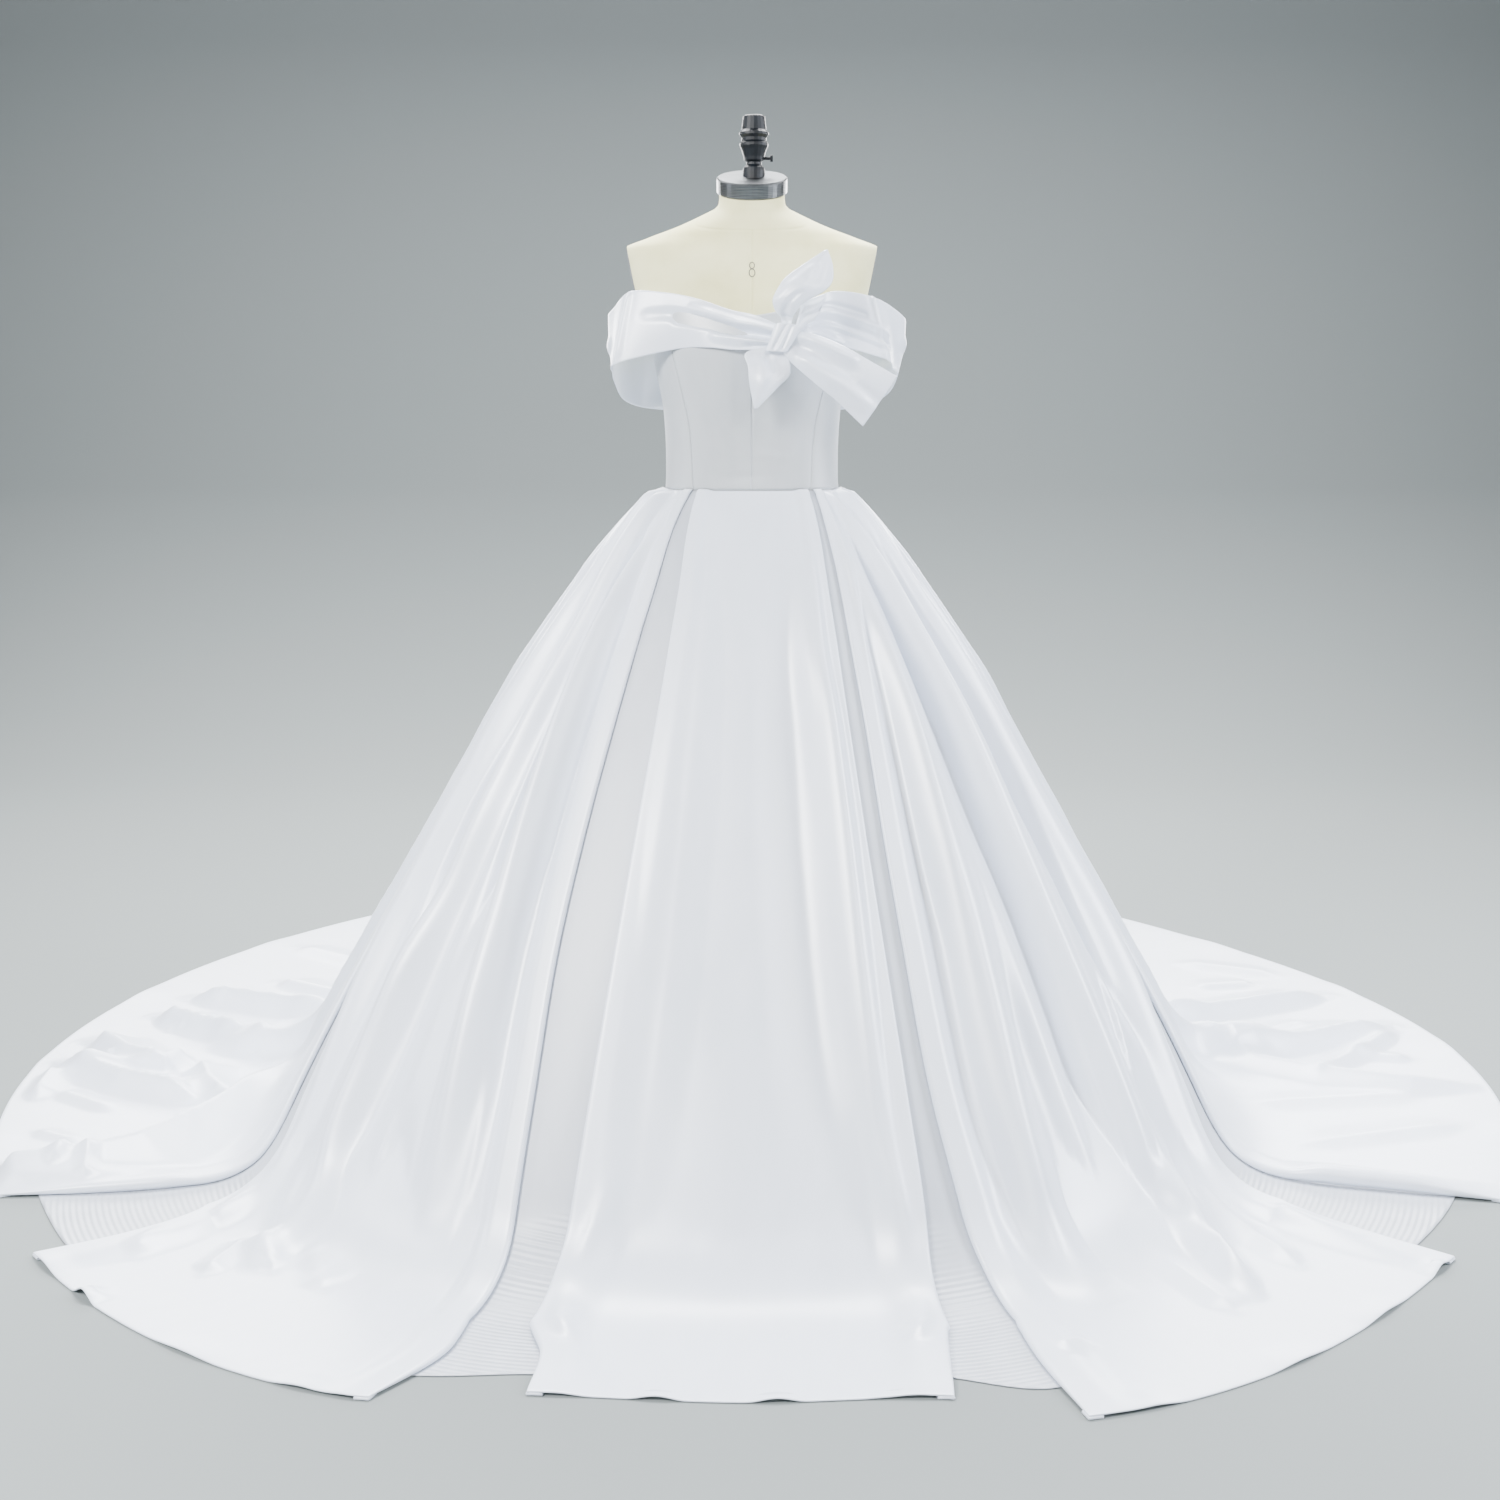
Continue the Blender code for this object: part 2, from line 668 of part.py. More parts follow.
# Bands: x and height of the upper edge, then of the lower edge. Facing is -1 where the band
# lies over the bodice's front, 1 over its back and 0 where it hangs free, and the two depths
# are how far it stands off the bodice there, or y where it hangs free. Then the swell
BAND_LEFT = [
    # upper x, z, lower x, z, facing, upper depth, lower depth, swell
    (-0.0900, 1.2400, -0.0900, 1.1400, 1, 0.0025, 0.0025, 0.000),
    (-0.1180, 1.2440, -0.1200, 1.1420, 1, 0.0100, 0.0120, 0.002),
    (-0.1720, 1.2600, -0.1760, 1.1480, 0, 0.0860, 0.0820, 0.003),
    (-0.2080, 1.2720, -0.2030, 1.1600, 0, 0.0540, 0.0440, 0.003),
    (-0.2225, 1.2850, -0.2125, 1.1830, 0, 0.0160, 0.0000, 0.003),
    (-0.2030, 1.3040, -0.2050, 1.2080, 0, -0.0200, -0.0460, 0.003),
    (-0.1760, 1.3176, -0.1630, 1.2240, 0, -0.0600, -0.0880, 0.003),
    (-0.1320, 1.3150, -0.1160, 1.2310, -1, 0.0060, 0.0040, 0.003),
    (-0.0820, 1.3048, -0.0680, 1.2330, -1, 0.0040, 0.0050, 0.003),
    (-0.0320, 1.2877, -0.0260, 1.2290, -1, 0.0050, 0.0100, 0.003),
    (0.0040, 1.2790, 0.0060, 1.2290, 0, -0.1330, -0.1385, 0.002),
    (0.0400, 1.2640, 0.0360, 1.2300, 0, -0.1415, -0.1415, 0.000),
]
BAND_RIGHT = [
    # upper x, z, lower x, z, facing, upper depth, lower depth, swell
    (0.0660, 1.2600, 0.0660, 1.2400, 0, -0.1440, -0.1440, 0.000),
    (0.0860, 1.2900, 0.0840, 1.2400, 0, -0.1330, -0.1390, 0.002),
    (0.1100, 1.3130, 0.1060, 1.2380, -1, 0.0080, 0.0120, 0.003),
    (0.1400, 1.3165, 0.1330, 1.2360, -1, 0.0080, 0.0080, 0.003),
    (0.1720, 1.3120, 0.1660, 1.2260, 0, -0.0640, -0.0880, 0.003),
    (0.2050, 1.3020, 0.1980, 1.2130, 0, -0.0260, -0.0500, 0.003),
    (0.2380, 1.2790, 0.2260, 1.1960, 0, 0.0100, 0.0000, 0.003),
    (0.2210, 1.2700, 0.2140, 1.1680, 0, 0.0540, 0.0440, 0.003),
    (0.1780, 1.2600, 0.1800, 1.1500, 0, 0.0860, 0.0820, 0.003),
    (0.1190, 1.2440, 0.1210, 1.1420, 1, 0.0100, 0.0120, 0.002),
    (0.0900, 1.2400, 0.0900, 1.1400, 1, 0.0025, 0.0025, 0.000),
]

# Bow pieces: x, y and z of the upper edge, x, y and z of the lower edge, swell
KNOT = [
    (0.0330, -0.1477, 1.2640, 0.0200, -0.1477, 1.2270, 0.000),
    (0.0400, -0.1510, 1.2670, 0.0255, -0.1510, 1.2262, 0.001),
    (0.0540, -0.1520, 1.2655, 0.0370, -0.1520, 1.2255, 0.001),
    (0.0680, -0.1510, 1.2630, 0.0470, -0.1510, 1.2252, 0.001),
    (0.0745, -0.1477, 1.2610, 0.0520, -0.1477, 1.2270, 0.000),
]
BOW_EAR = [
    (0.0440, -0.1500, 1.2590, 0.0560, -0.1500, 1.2585, 0.000),
    (0.0420, -0.1500, 1.2730, 0.0590, -0.1500, 1.2720, 0.000),
    (0.0330, -0.1530, 1.2850, 0.0620, -0.1540, 1.2790, 0.004),
    (0.0300, -0.1560, 1.3000, 0.0760, -0.1580, 1.2950, 0.008),
    (0.0392, -0.1560, 1.3190, 0.1040, -0.1560, 1.3105, 0.010),
    (0.0508, -0.1530, 1.3331, 0.1170, -0.1500, 1.3261, 0.008),
    (0.0768, -0.1490, 1.3514, 0.1175, -0.1460, 1.3486, 0.005),
    (0.1050, -0.1450, 1.3700, 0.1100, -0.1450, 1.3710, 0.000),
]
BOW_LOOP = [
    (0.0640, -0.1461, 1.2640, 0.0640, -0.1461, 1.2560, 0.000),
    (0.0740, -0.1440, 1.2960, 0.0780, -0.1440, 1.2640, 0.003),
    (0.0920, -0.1400, 1.3040, 0.0900, -0.1420, 1.2700, 0.005),
    (0.1060, -0.1350, 1.3090, 0.1000, -0.1380, 1.2820, 0.003),
]
TAIL_RIGHT = [
    (0.0560, -0.1461, 1.2560, 0.0440, -0.1461, 1.2250, 0.000),
    (0.0800, -0.1461, 1.2530, 0.0600, -0.1461, 1.2080, 0.000),
    (0.1000, -0.1490, 1.2480, 0.0780, -0.1500, 1.1920, 0.005),
    (0.1330, -0.1500, 1.2345, 0.1010, -0.1510, 1.1730, 0.008),
    (0.1700, -0.1440, 1.2145, 0.1240, -0.1470, 1.1550, 0.008),
    (0.2142, -0.1360, 1.1908, 0.1640, -0.1420, 1.1180, 0.004),
]
TAIL_LEFT = [
    (0.0480, -0.1437, 1.2300, 0.0200, -0.1437, 1.2330, 0.000),
    (0.0560, -0.1425, 1.2100, -0.0095, -0.1450, 1.2240, 0.000),
    (0.0560, -0.1425, 1.1920, -0.0060, -0.1500, 1.2040, 0.004),
    (0.0400, -0.1470, 1.1760, -0.0040, -0.1510, 1.1800, 0.006),
    (0.0080, -0.1490, 1.1440, 0.0030, -0.1490, 1.1430, 0.000),
]


def band_stations(band):
    stations = []
    for upper_x, upper_z, lower_x, lower_z, facing, upper_depth, lower_depth, swell in band:
        upper_y = upper_depth
        lower_y = lower_depth
        if facing:
            upper_y = bodice_depth(upper_x, upper_z, facing, upper_depth)
            lower_y = bodice_depth(lower_x, lower_z, facing, lower_depth)
        stations.append((upper_x, upper_y, upper_z, lower_x, lower_y, lower_z, swell))
    return stations


def build_bow(satin, parts):
    ribbon("band_left", band_stations(BAND_LEFT), 4, satin, parts)
    ribbon("band_right", band_stations(BAND_RIGHT), 4, satin, parts)
    ribbon("bow_knot", KNOT, 3, satin, parts)
    ribbon("bow_ear", BOW_EAR, 4, satin, parts)
    ribbon("bow_loop", BOW_LOOP, 4, satin, parts)
    ribbon("bow_tail_right", TAIL_RIGHT, 4, satin, parts)
    ribbon("bow_tail_left", TAIL_LEFT, 4, satin, parts)


# Hardware of the form


def turned_piece(name, profile, steps, location, material, parts):
    """Solid of revolution. The profile runs top to bottom and starts and ends on the axis."""
    mesh = bpy.data.meshes.new(name)
    points = [(radius, 0.0, height) for radius, height in profile]
    edges = [(index, index + 1) for index in range(len(points) - 1)]
    mesh.from_pydata(points, edges, [])
    piece = add_object(name, mesh, material, parts)
    piece.location = location
    turn = piece.modifiers.new("turned", "SCREW")
    turn.axis = "Z"
    turn.steps = steps
    turn.render_steps = steps
    turn.use_merge_vertices = True
    turn.merge_threshold = 0.0001
    turn.use_smooth_shade = True
    return piece


def build_cap(steel, parts):
    profile = [(0.0, CAP_HEIGHT), (CAP_RADIUS - 0.002, CAP_HEIGHT), (CAP_RADIUS, CAP_HEIGHT - 0.002)]
    profile += [(CAP_RADIUS, 0.0015), (CAP_RADIUS - 0.0015, 0.0), (0.0, 0.0)]
    cap = turned_piece("neck_cap", profile, 40, (0.0, 0.0, NECK_TOP + SEAM_GAP * 1.2), steel, parts)
    cap.rotation_euler = (NECK_TILT, 0.0, 0.0)
    return cap


def tilted_top(offset):
    """Height of a plane over the tilted cap on the form's axis."""
    return NECK_TOP + SEAM_GAP * 1.2 + (CAP_HEIGHT + offset) / math.cos(NECK_TILT)


def build_finial(black, parts, cutters):
    foot = tilted_top(0.0) - 0.020
    profile = [
        (0.0, 1.5800), (0.0150, 1.5800), (0.0167, 1.5785), (0.0190, 1.5590), (0.0225, 1.5550),
        (0.0227, 1.5515), (0.0192, 1.5475), (0.0190, 1.5430), (0.0218, 1.5395), (0.0218, 1.5355),
        (0.0195, 1.5310), (0.0159, 1.5200), (0.0150, 1.5150), (0.0116, 1.5120), (0.0118, 1.5085),
        (0.0159, 1.5040), (0.0168, 1.5000), (0.0168, foot), (0.0, foot),
    ]
    finial = turned_piece("finial", profile, 20, (FINIAL_X, 0.0, 0.0), black, parts)
    bpy.ops.mesh.primitive_cube_add(size=0.12)
    under = bpy.context.object
    under.name = "finial_foot_cutter"
    under.rotation_euler = (NECK_TILT, 0.0, 0.0)
    down = Matrix.Rotation(NECK_TILT, 3, "X") @ Vector((0.0, 0.0, -0.06))
    under.location = Vector((0.0, 0.0, tilted_top(SEAM_GAP))) + down
    add_cutter(under, cutters)
    cut = finial.modifiers.new("cut to the cap", "BOOLEAN")
    cut.operation = "DIFFERENCE"
    cut.object = under
    bpy.ops.mesh.primitive_cylinder_add(vertices=16, radius=THUMBSCREW_HOLE_RADIUS, depth=0.02)
    hole = bpy.context.object
    hole.name = "finial_hole_cutter"
    hole.rotation_euler = (0.0, math.radians(90.0), 0.0)
    hole.location = (FINIAL_X + THUMBSCREW_SEAT_X - SEAM_GAP + 0.01, 0.0, THUMBSCREW_Z)
    add_cutter(hole, cutters)
    bore = finial.modifiers.new("bore for the thumbscrew", "BOOLEAN")
    bore.operation = "DIFFERENCE"
    bore.object = hole
    return finial


def build_thumbscrew(black, parts):
    """Clamping screw in the finial: a round stem with a flat thumb head, turned about X."""
    bpy.ops.mesh.primitive_cylinder_add(vertices=12, radius=THUMBSCREW_STEM_RADIUS, depth=1.0)
    stem = bpy.context.object
    length = THUMBSCREW_HEAD_X + 0.001 - THUMBSCREW_SEAT_X
    stem.data.transform(Matrix.Diagonal((1.0, 1.0, length, 1.0)))
    stem.data.transform(Matrix.Translation((0.0, 0.0, length / 2)))
    bpy.ops.mesh.primitive_cylinder_add(vertices=16, radius=1.0, depth=THUMBSCREW_HEAD_THICKNESS)
    head = bpy.context.object
    head.data.transform(Matrix.Diagonal((THUMBSCREW_HEAD_HEIGHT / 2, THUMBSCREW_HEAD_DEPTH / 2, 1.0, 1.0)))
    centre = THUMBSCREW_HEAD_X - THUMBSCREW_SEAT_X + THUMBSCREW_HEAD_THICKNESS / 2
    head.data.transform(Matrix.Translation((0.0, 0.0, centre)))
    add_cutter(head, bpy.data.collections["cutters"])
    stem.name = "thumbscrew"
    stem.data.name = "thumbscrew"
    stem.data.materials.append(black)
    stem.rotation_euler = (0.0, math.radians(90.0), 0.0)
    head.rotation_euler = stem.rotation_euler
    stem.location = (FINIAL_X + THUMBSCREW_SEAT_X, 0.0, THUMBSCREW_Z)
    head.location = stem.location
    joined = stem.modifiers.new("head", "BOOLEAN")
    joined.operation = "UNION"
    joined.object = head
    for home in list(stem.users_collection):
        home.objects.unlink(stem)
    parts.objects.link(stem)
    return stem


def build_stand(steel, black, parts):
    """Hidden pole and weighted base that carry the form."""
    edge = 0.003
    plate = [(0.0, BASE_HEIGHT), (BASE_RADIUS - edge, BASE_HEIGHT), (BASE_RADIUS, BASE_HEIGHT - edge)]
    plate += [(BASE_RADIUS, 0.0), (0.0, 0.0)]
    turned_piece("stand_base", plate, 40, (0.0, 0.0, 0.0), black, parts)
    pole_foot = BASE_HEIGHT + SEAM_GAP
    pole_top = FORM_SECTIONS[0][0] - SEAM_GAP
    pole = [(0.0, pole_top), (POLE_RADIUS, pole_top), (POLE_RADIUS, pole_foot + COLLAR_HEIGHT)]
    pole += [(COLLAR_RADIUS, pole_foot + COLLAR_HEIGHT - edge), (COLLAR_RADIUS, pole_foot), (0.0, pole_foot)]
    turned_piece("stand_pole", pole, 24, (0.0, 0.0, 0.0), steel, parts)


def main():
    parts, cutters = start_scene()
    satin = make_material("white satin", (0.86, 0.88, 0.91), 0.38, 0.0)
    linen = make_material("ivory linen", (0.78, 0.75, 0.64), 0.85, 0.0)
    steel = make_material("brushed steel", (0.56, 0.57, 0.58), 0.32, 1.0)
    black = make_material("black plastic", (0.02, 0.025, 0.03), 0.35, 0.0)
    grey = make_material("grey plate", (0.25, 0.26, 0.28), 0.55, 0.0)
    build_form_torso(linen, parts)
    build_arm_plate("arm_plate_left", -1, grey, parts)
    build_arm_plate("arm_plate_right", 1, grey, parts)
    build_cap(steel, parts)
    build_finial(black, parts, cutters)
    build_thumbscrew(black, parts)
    build_stand(steel, black, parts)
    build_bodice(satin, parts)
    build_bow(satin, parts)
    build_skirt(satin, parts)


main()
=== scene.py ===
"""White satin wedding dress with a bow, a pleated skirt and a train, on its limbless dress form."""
import math
import random

import bpy
import numpy as np
from mathutils import Matrix, Vector


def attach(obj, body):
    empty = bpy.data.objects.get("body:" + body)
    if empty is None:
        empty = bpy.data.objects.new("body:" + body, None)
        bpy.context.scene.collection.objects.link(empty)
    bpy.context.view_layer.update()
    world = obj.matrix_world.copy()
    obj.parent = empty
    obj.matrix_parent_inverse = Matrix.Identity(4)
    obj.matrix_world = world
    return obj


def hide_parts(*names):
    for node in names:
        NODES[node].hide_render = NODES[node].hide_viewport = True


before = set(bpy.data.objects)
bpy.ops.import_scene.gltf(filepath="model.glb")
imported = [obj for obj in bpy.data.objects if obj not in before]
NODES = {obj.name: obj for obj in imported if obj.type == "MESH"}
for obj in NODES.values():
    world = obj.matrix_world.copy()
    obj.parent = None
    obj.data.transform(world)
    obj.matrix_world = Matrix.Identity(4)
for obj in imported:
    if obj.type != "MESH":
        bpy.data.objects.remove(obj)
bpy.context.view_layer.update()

GOWN = "gown_on_form"
SCREW = "thumbscrew"

# Cloth and seams, in metres
SHELL = 0.0010
CLOTH_LIE = 0.0015
WAIST_HEIGHT = 1.0222
WAIST_OUTSET = 0.0027
BODICE_FOOT = 1.0225
SEAM_GAP = 0.0003
CONTACT_CENTRE_Y = 0.08
HEM_CENTRE_Y = 0.16
FLOOR_BEND = 0.10
SPRING_LENGTH = 0.08
FORM_SQUARENESS = 2.25
LAYER_PITCH = [
    # slope, how far a turned edge stands above the layer below
    (0.00, 0.0052), (1.20, 0.0125), (1.60, 0.0100), (1.90, 0.0050), (2.00, 0.0038),
]
LEG_LIFT = 0.0006
TROUGH_DEPTH = 0.030
WAIST_ROLL = 0.0018
FOLD_GAIN = 1.5
CREASE_GAIN = 1.4
TUCK_WAIST = 0.008
TUCK_HEM = 0.026
TUCK_TO_LEG = 0.7
HEM_CURL = 0.0012
HEM_RAISE = 0.0010
HEM_TURN = 0.014
NECK_TILT = math.radians(19.0)

# Camera of the photograph: lens in pixels of a 1500 pixel frame, height and distance
LENS_PIXELS = 1795.0
FRAME_PIXELS = 1500.0
HORIZON_PIXEL = 425.0
CAMERA_X = -0.003
CAMERA_HEIGHT = 1.12
CAMERA_DISTANCE = 2.84


# Finishes


def linear(code):
    """Linear colour of an sRGB hex value."""
    values = []
    for start in (1, 3, 5):
        value = int(code[start:start + 2], 16) / 255.0
        values.append(value / 12.92 if value <= 0.04045 else ((value + 0.055) / 1.055) ** 2.4)
    return (*values, 1.0)


def add_node(tree, kind, settings, links):
    """Adds a node. The settings are its own properties, the links are sockets or plain values by name."""
    node = tree.nodes.new(kind)
    for name, value in settings.items():
        setattr(node, name, value)
    for name, value in links.items():
        socket = node.inputs[name]
        if isinstance(value, bpy.types.NodeSocket):
            tree.links.new(value, socket)
        else:
            socket.default_value = value
    return node


def new_finish(name):
    """A material with only its shader, and the shader."""
    finish = bpy.data.materials.new(name)
    finish.use_nodes = True
    return finish, finish.node_tree, finish.node_tree.nodes["Principled BSDF"]


def ramp(tree, factor, stops):
    """Colours or greys along a factor. Each stop is a place and a hex value."""
    node = add_node(tree, "ShaderNodeValToRGB", {}, {"Fac": factor})
    band = node.color_ramp
    while len(band.elements) < len(stops):
        band.elements.new(0.5)
    for element, (place, code) in zip(band.elements, stops):
        element.position = place
        element.color = linear(code)
    return node.outputs["Color"]


def satin(name, light, deep, roughness, wrinkle, stitched=False):
    """Heavy bridal satin, woven with long floats: smooth, cool white, with a broad soft gloss."""
    finish, tree, shader = new_finish(name)
    grain = add_node(tree, "ShaderNodeAttribute", {"attribute_name": "grain"}, {}).outputs["Vector"]
    # Threads lie 0.2 mm apart, drawn 0.8 mm apart so that they show close up
    threads = add_node(tree, "ShaderNodeTexWave", {"bands_direction": "X"},
                       {"Vector": grain, "Scale": 395.0, "Distortion": 0.6, "Detail": 1.0}).outputs["Fac"]
    # Slight handling marks 15 to 40 mm long, longer down the cloth than across it
    stretched = add_node(tree, "ShaderNodeMapping", {}, {"Vector": grain, "Scale": (34.0, 13.0, 1.0)})
    marks = add_node(tree, "ShaderNodeTexNoise", {}, {"Vector": stretched.outputs["Vector"], "Scale": 1.0,
                                                      "Detail": 3.0, "Roughness": 0.5}).outputs["Fac"]
    tint = ramp(tree, marks, [(0.3, deep), (0.62, light)])
    tree.links.new(tint, shader.inputs["Base Color"])
    gloss = add_node(tree, "ShaderNodeMapRange", {}, {"Value": marks, "To Min": roughness - 0.02,
                                                      "To Max": roughness + 0.03}).outputs["Result"]
    tree.links.new(gloss, shader.inputs["Roughness"])
    soft = add_node(tree, "ShaderNodeBump", {}, {"Height": marks, "Strength": wrinkle, "Distance": 0.004})
    fine = add_node(tree, "ShaderNodeBump", {}, {"Height": threads, "Strength": 0.10, "Distance": 0.0002,
                                                 "Normal": soft.outputs["Normal"]})
    last = fine
    if stitched:
        # Rows of stitching 9 mm apart that stiffen the bottom 0.3 m of the pleats' underlays
        down = add_node(tree, "ShaderNodeSeparateXYZ", {}, {"Vector": grain}).outputs["Z"]
        rows = add_node(tree, "ShaderNodeTexWave", {"bands_direction": "Y"},
                        {"Vector": grain, "Scale": 35.0, "Distortion": 0.0}).outputs["Fac"]
        near = add_node(tree, "ShaderNodeMapRange", {}, {"Value": down, "From Min": 0.30, "From Max": 0.26})
        sunk = add_node(tree, "ShaderNodeMath", {"operation": "MULTIPLY"}, {0: rows, 1: near.outputs["Result"]})
        last = add_node(tree, "ShaderNodeBump", {}, {"Height": sunk.outputs["Value"], "Strength": 0.5,
                                                     "Distance": 0.0012, "Normal": fine.outputs["Normal"]})
    tree.links.new(last.outputs["Normal"], shader.inputs["Normal"])
    shader.inputs["IOR"].default_value = 1.58
    shader.inputs["Specular IOR Level"].default_value = 0.85
    shader.inputs["Anisotropic"].default_value = 0.35
    shader.inputs["Sheen Weight"].default_value = 0.12
    shader.inputs["Sheen Roughness"].default_value = 0.4
    return finish


def linen_cover():
    """Ivory linen stretched over padding: matte plain weave with a few thicker threads."""
    finish, tree, shader = new_finish("ivory linen cover")
    place = add_node(tree, "ShaderNodeTexCoord", {}, {}).outputs["Object"]
    # Threads 0.6 mm apart, drawn 1.6 mm apart so that the weave shows
    across = add_node(tree, "ShaderNodeTexWave", {"bands_direction": "X"},
                      {"Vector": place, "Scale": 196.0, "Distortion": 0.8, "Detail": 2.0}).outputs["Fac"]
    along = add_node(tree, "ShaderNodeTexWave", {"bands_direction": "Z"},
                     {"Vector": place, "Scale": 196.0, "Distortion": 0.8, "Detail": 2.0}).outputs["Fac"]
    weave = add_node(tree, "ShaderNodeMath", {"operation": "MULTIPLY"}, {0: across, 1: along}).outputs["Value"]
    # Handling tones some 60 mm wide
    tone = add_node(tree, "ShaderNodeTexNoise", {}, {"Vector": place, "Scale": 16.0, "Detail": 4.0}).outputs["Fac"]
    mixed = add_node(tree, "ShaderNodeMath", {"operation": "MULTIPLY_ADD"}, {0: weave, 1: 0.18, 2: tone})
    colour = ramp(tree, mixed.outputs["Value"], [(0.30, "#D6D29C"), (0.70, "#E5E2B4")])
    tree.links.new(colour, shader.inputs["Base Color"])
    bump = add_node(tree, "ShaderNodeBump", {}, {"Height": weave, "Strength": 0.35, "Distance": 0.0004})
    tree.links.new(bump.outputs["Normal"], shader.inputs["Normal"])
    shader.inputs["Roughness"].default_value = 0.9
    shader.inputs["Specular IOR Level"].default_value = 0.2
    shader.inputs["Sheen Weight"].default_value = 0.25
    return finish


def brushed_steel(name, light, dark):
    """Stainless steel brushed round its rim: fine streaks that blur the reflections."""
    finish, tree, shader = new_finish(name)
    place = add_node(tree, "ShaderNodeTexCoord", {}, {}).outputs["Object"]
    # Streaks 0.5 mm high and some 40 mm long
    squeezed = add_node(tree, "ShaderNodeMapping", {}, {"Vector": place, "Scale": (25.0, 25.0, 1900.0)})
    streaks = add_node(tree, "ShaderNodeTexNoise", {}, {"Vector": squeezed.outputs["Vector"], "Scale": 1.0,
                                                        "Detail": 4.0}).outputs["Fac"]
    tree.links.new(ramp(tree, streaks, [(0.3, dark), (0.7, light)]), shader.inputs["Base Color"])
    gloss = add_node(tree, "ShaderNodeMapRange", {}, {"Value": streaks, "To Min": 0.24, "To Max": 0.42})
    tree.links.new(gloss.outputs["Result"], shader.inputs["Roughness"])
    bump = add_node(tree, "ShaderNodeBump", {}, {"Height": streaks, "Strength": 0.12, "Distance": 0.0003})
    tree.links.new(bump.outputs["Normal"], shader.inputs["Normal"])
    shader.inputs["Metallic"].default_value = 1.0
    return finish


def moulded(name, light, dark, roughness, grit):
    """Moulded or powder-coated surface: even colour with a fine grit and faint handling marks."""
    finish, tree, shader = new_finish(name)
    place = add_node(tree, "ShaderNodeTexCoord", {}, {}).outputs["Object"]
    # Grit is a size in metres
    fine = add_node(tree, "ShaderNodeTexNoise", {}, {"Vector": place, "Scale": 1.0 / grit, "Detail": 2.0})
    marks = add_node(tree, "ShaderNodeTexNoise", {}, {"Vector": place, "Scale": 45.0, "Detail": 3.0}).outputs["Fac"]
    tree.links.new(ramp(tree, marks, [(0.35, dark), (0.7, light)]), shader.inputs["Base Color"])
    gloss = add_node(tree, "ShaderNodeMapRange", {}, {"Value": marks, "To Min": roughness - 0.06,
                                                      "To Max": roughness + 0.1})
    tree.links.new(gloss.outputs["Result"], shader.inputs["Roughness"])
    shader.inputs["Specular IOR Level"].default_value = 0.28
    bump = add_node(tree, "ShaderNodeBump", {}, {"Height": fine.outputs["Fac"], "Strength": 0.15,
                                                 "Distance": 0.0002})
    tree.links.new(bump.outputs["Normal"], shader.inputs["Normal"])
    return finish


SATIN = satin("bridal satin", "#DDE4F0", "#DAE1ED", 0.33, 0.004)
# Underlays of the pleats: the same white satin as the skirt, its grey colour is painted shade of the pleat recesses;
# only its stitched rows are real
SHADED_UNDERLAY_SATIN = satin("stitched satin underlay with painted shade", "#B2B8C2", "#ABB1BB", 0.44, 0.03, stitched=True)
# Bodice: the same white satin as the skirt, its grey colour is painted shade
SHADED_BODICE_SATIN = satin("bodice satin with painted shade", "#B3B8BC", "#ADB2B7", 0.40, 0.04)
LINEN = linen_cover()
STEEL = brushed_steel("brushed steel", "#8A8D90", "#54585B")
BLACK = moulded("semi-gloss black plastic", "#0D1319", "#070A0E", 0.42, 0.0012)
GREY = moulded("matte grey plate", "#777B80", "#65696E", 0.55, 0.0010)
PRINT = moulded("grey printed ink", "#66665F", "#595953", 0.7, 0.0010)
ENAMEL = moulded("white enamelled metal", "#E4E6E9", "#D9DBDF", 0.3, 0.0010)
IRON = moulded("black powder-coated iron", "#22262A", "#171A1D", 0.55, 0.0008)


# Tables of the cut

REACH = [
    # angle from the front, where the slope meets the floor, where the hem lies
    (-180, 0.80, 1.420), (-150, 0.80, 1.370), (-130, 0.80, 1.330), (-95, 0.80, 1.275),
    (-64, 0.82, 1.220), (-50, 0.83, 1.205), (-24, 0.79, 1.170), (-14, 0.765, 1.095),
    (0, 0.76, 1.080), (12, 0.76, 1.095), (19, 0.78, 1.180), (50, 0.80, 1.190),
    (64, 0.80, 1.220), (95, 0.775, 1.280), (130, 0.79, 1.290), (150, 0.80, 1.350), (180, 0.80, 1.420),
]
SPRING = [
    # angle, how far the pleats spring out below the waist
    (-180, 0.050), (-90, 0.040), (-30, 0.022), (0, 0.016), (30, 0.022), (90, 0.034), (180, 0.050),
]
STACK_TILT = [
    # slope, direction in which the layers are stacked, in degrees up from level
    (0.00, 25.0), (0.06, 38.0), (0.20, 34.0), (0.88, 34.0), (1.00, 62.0), (1.12, 90.0), (2.00, 90.0),
]
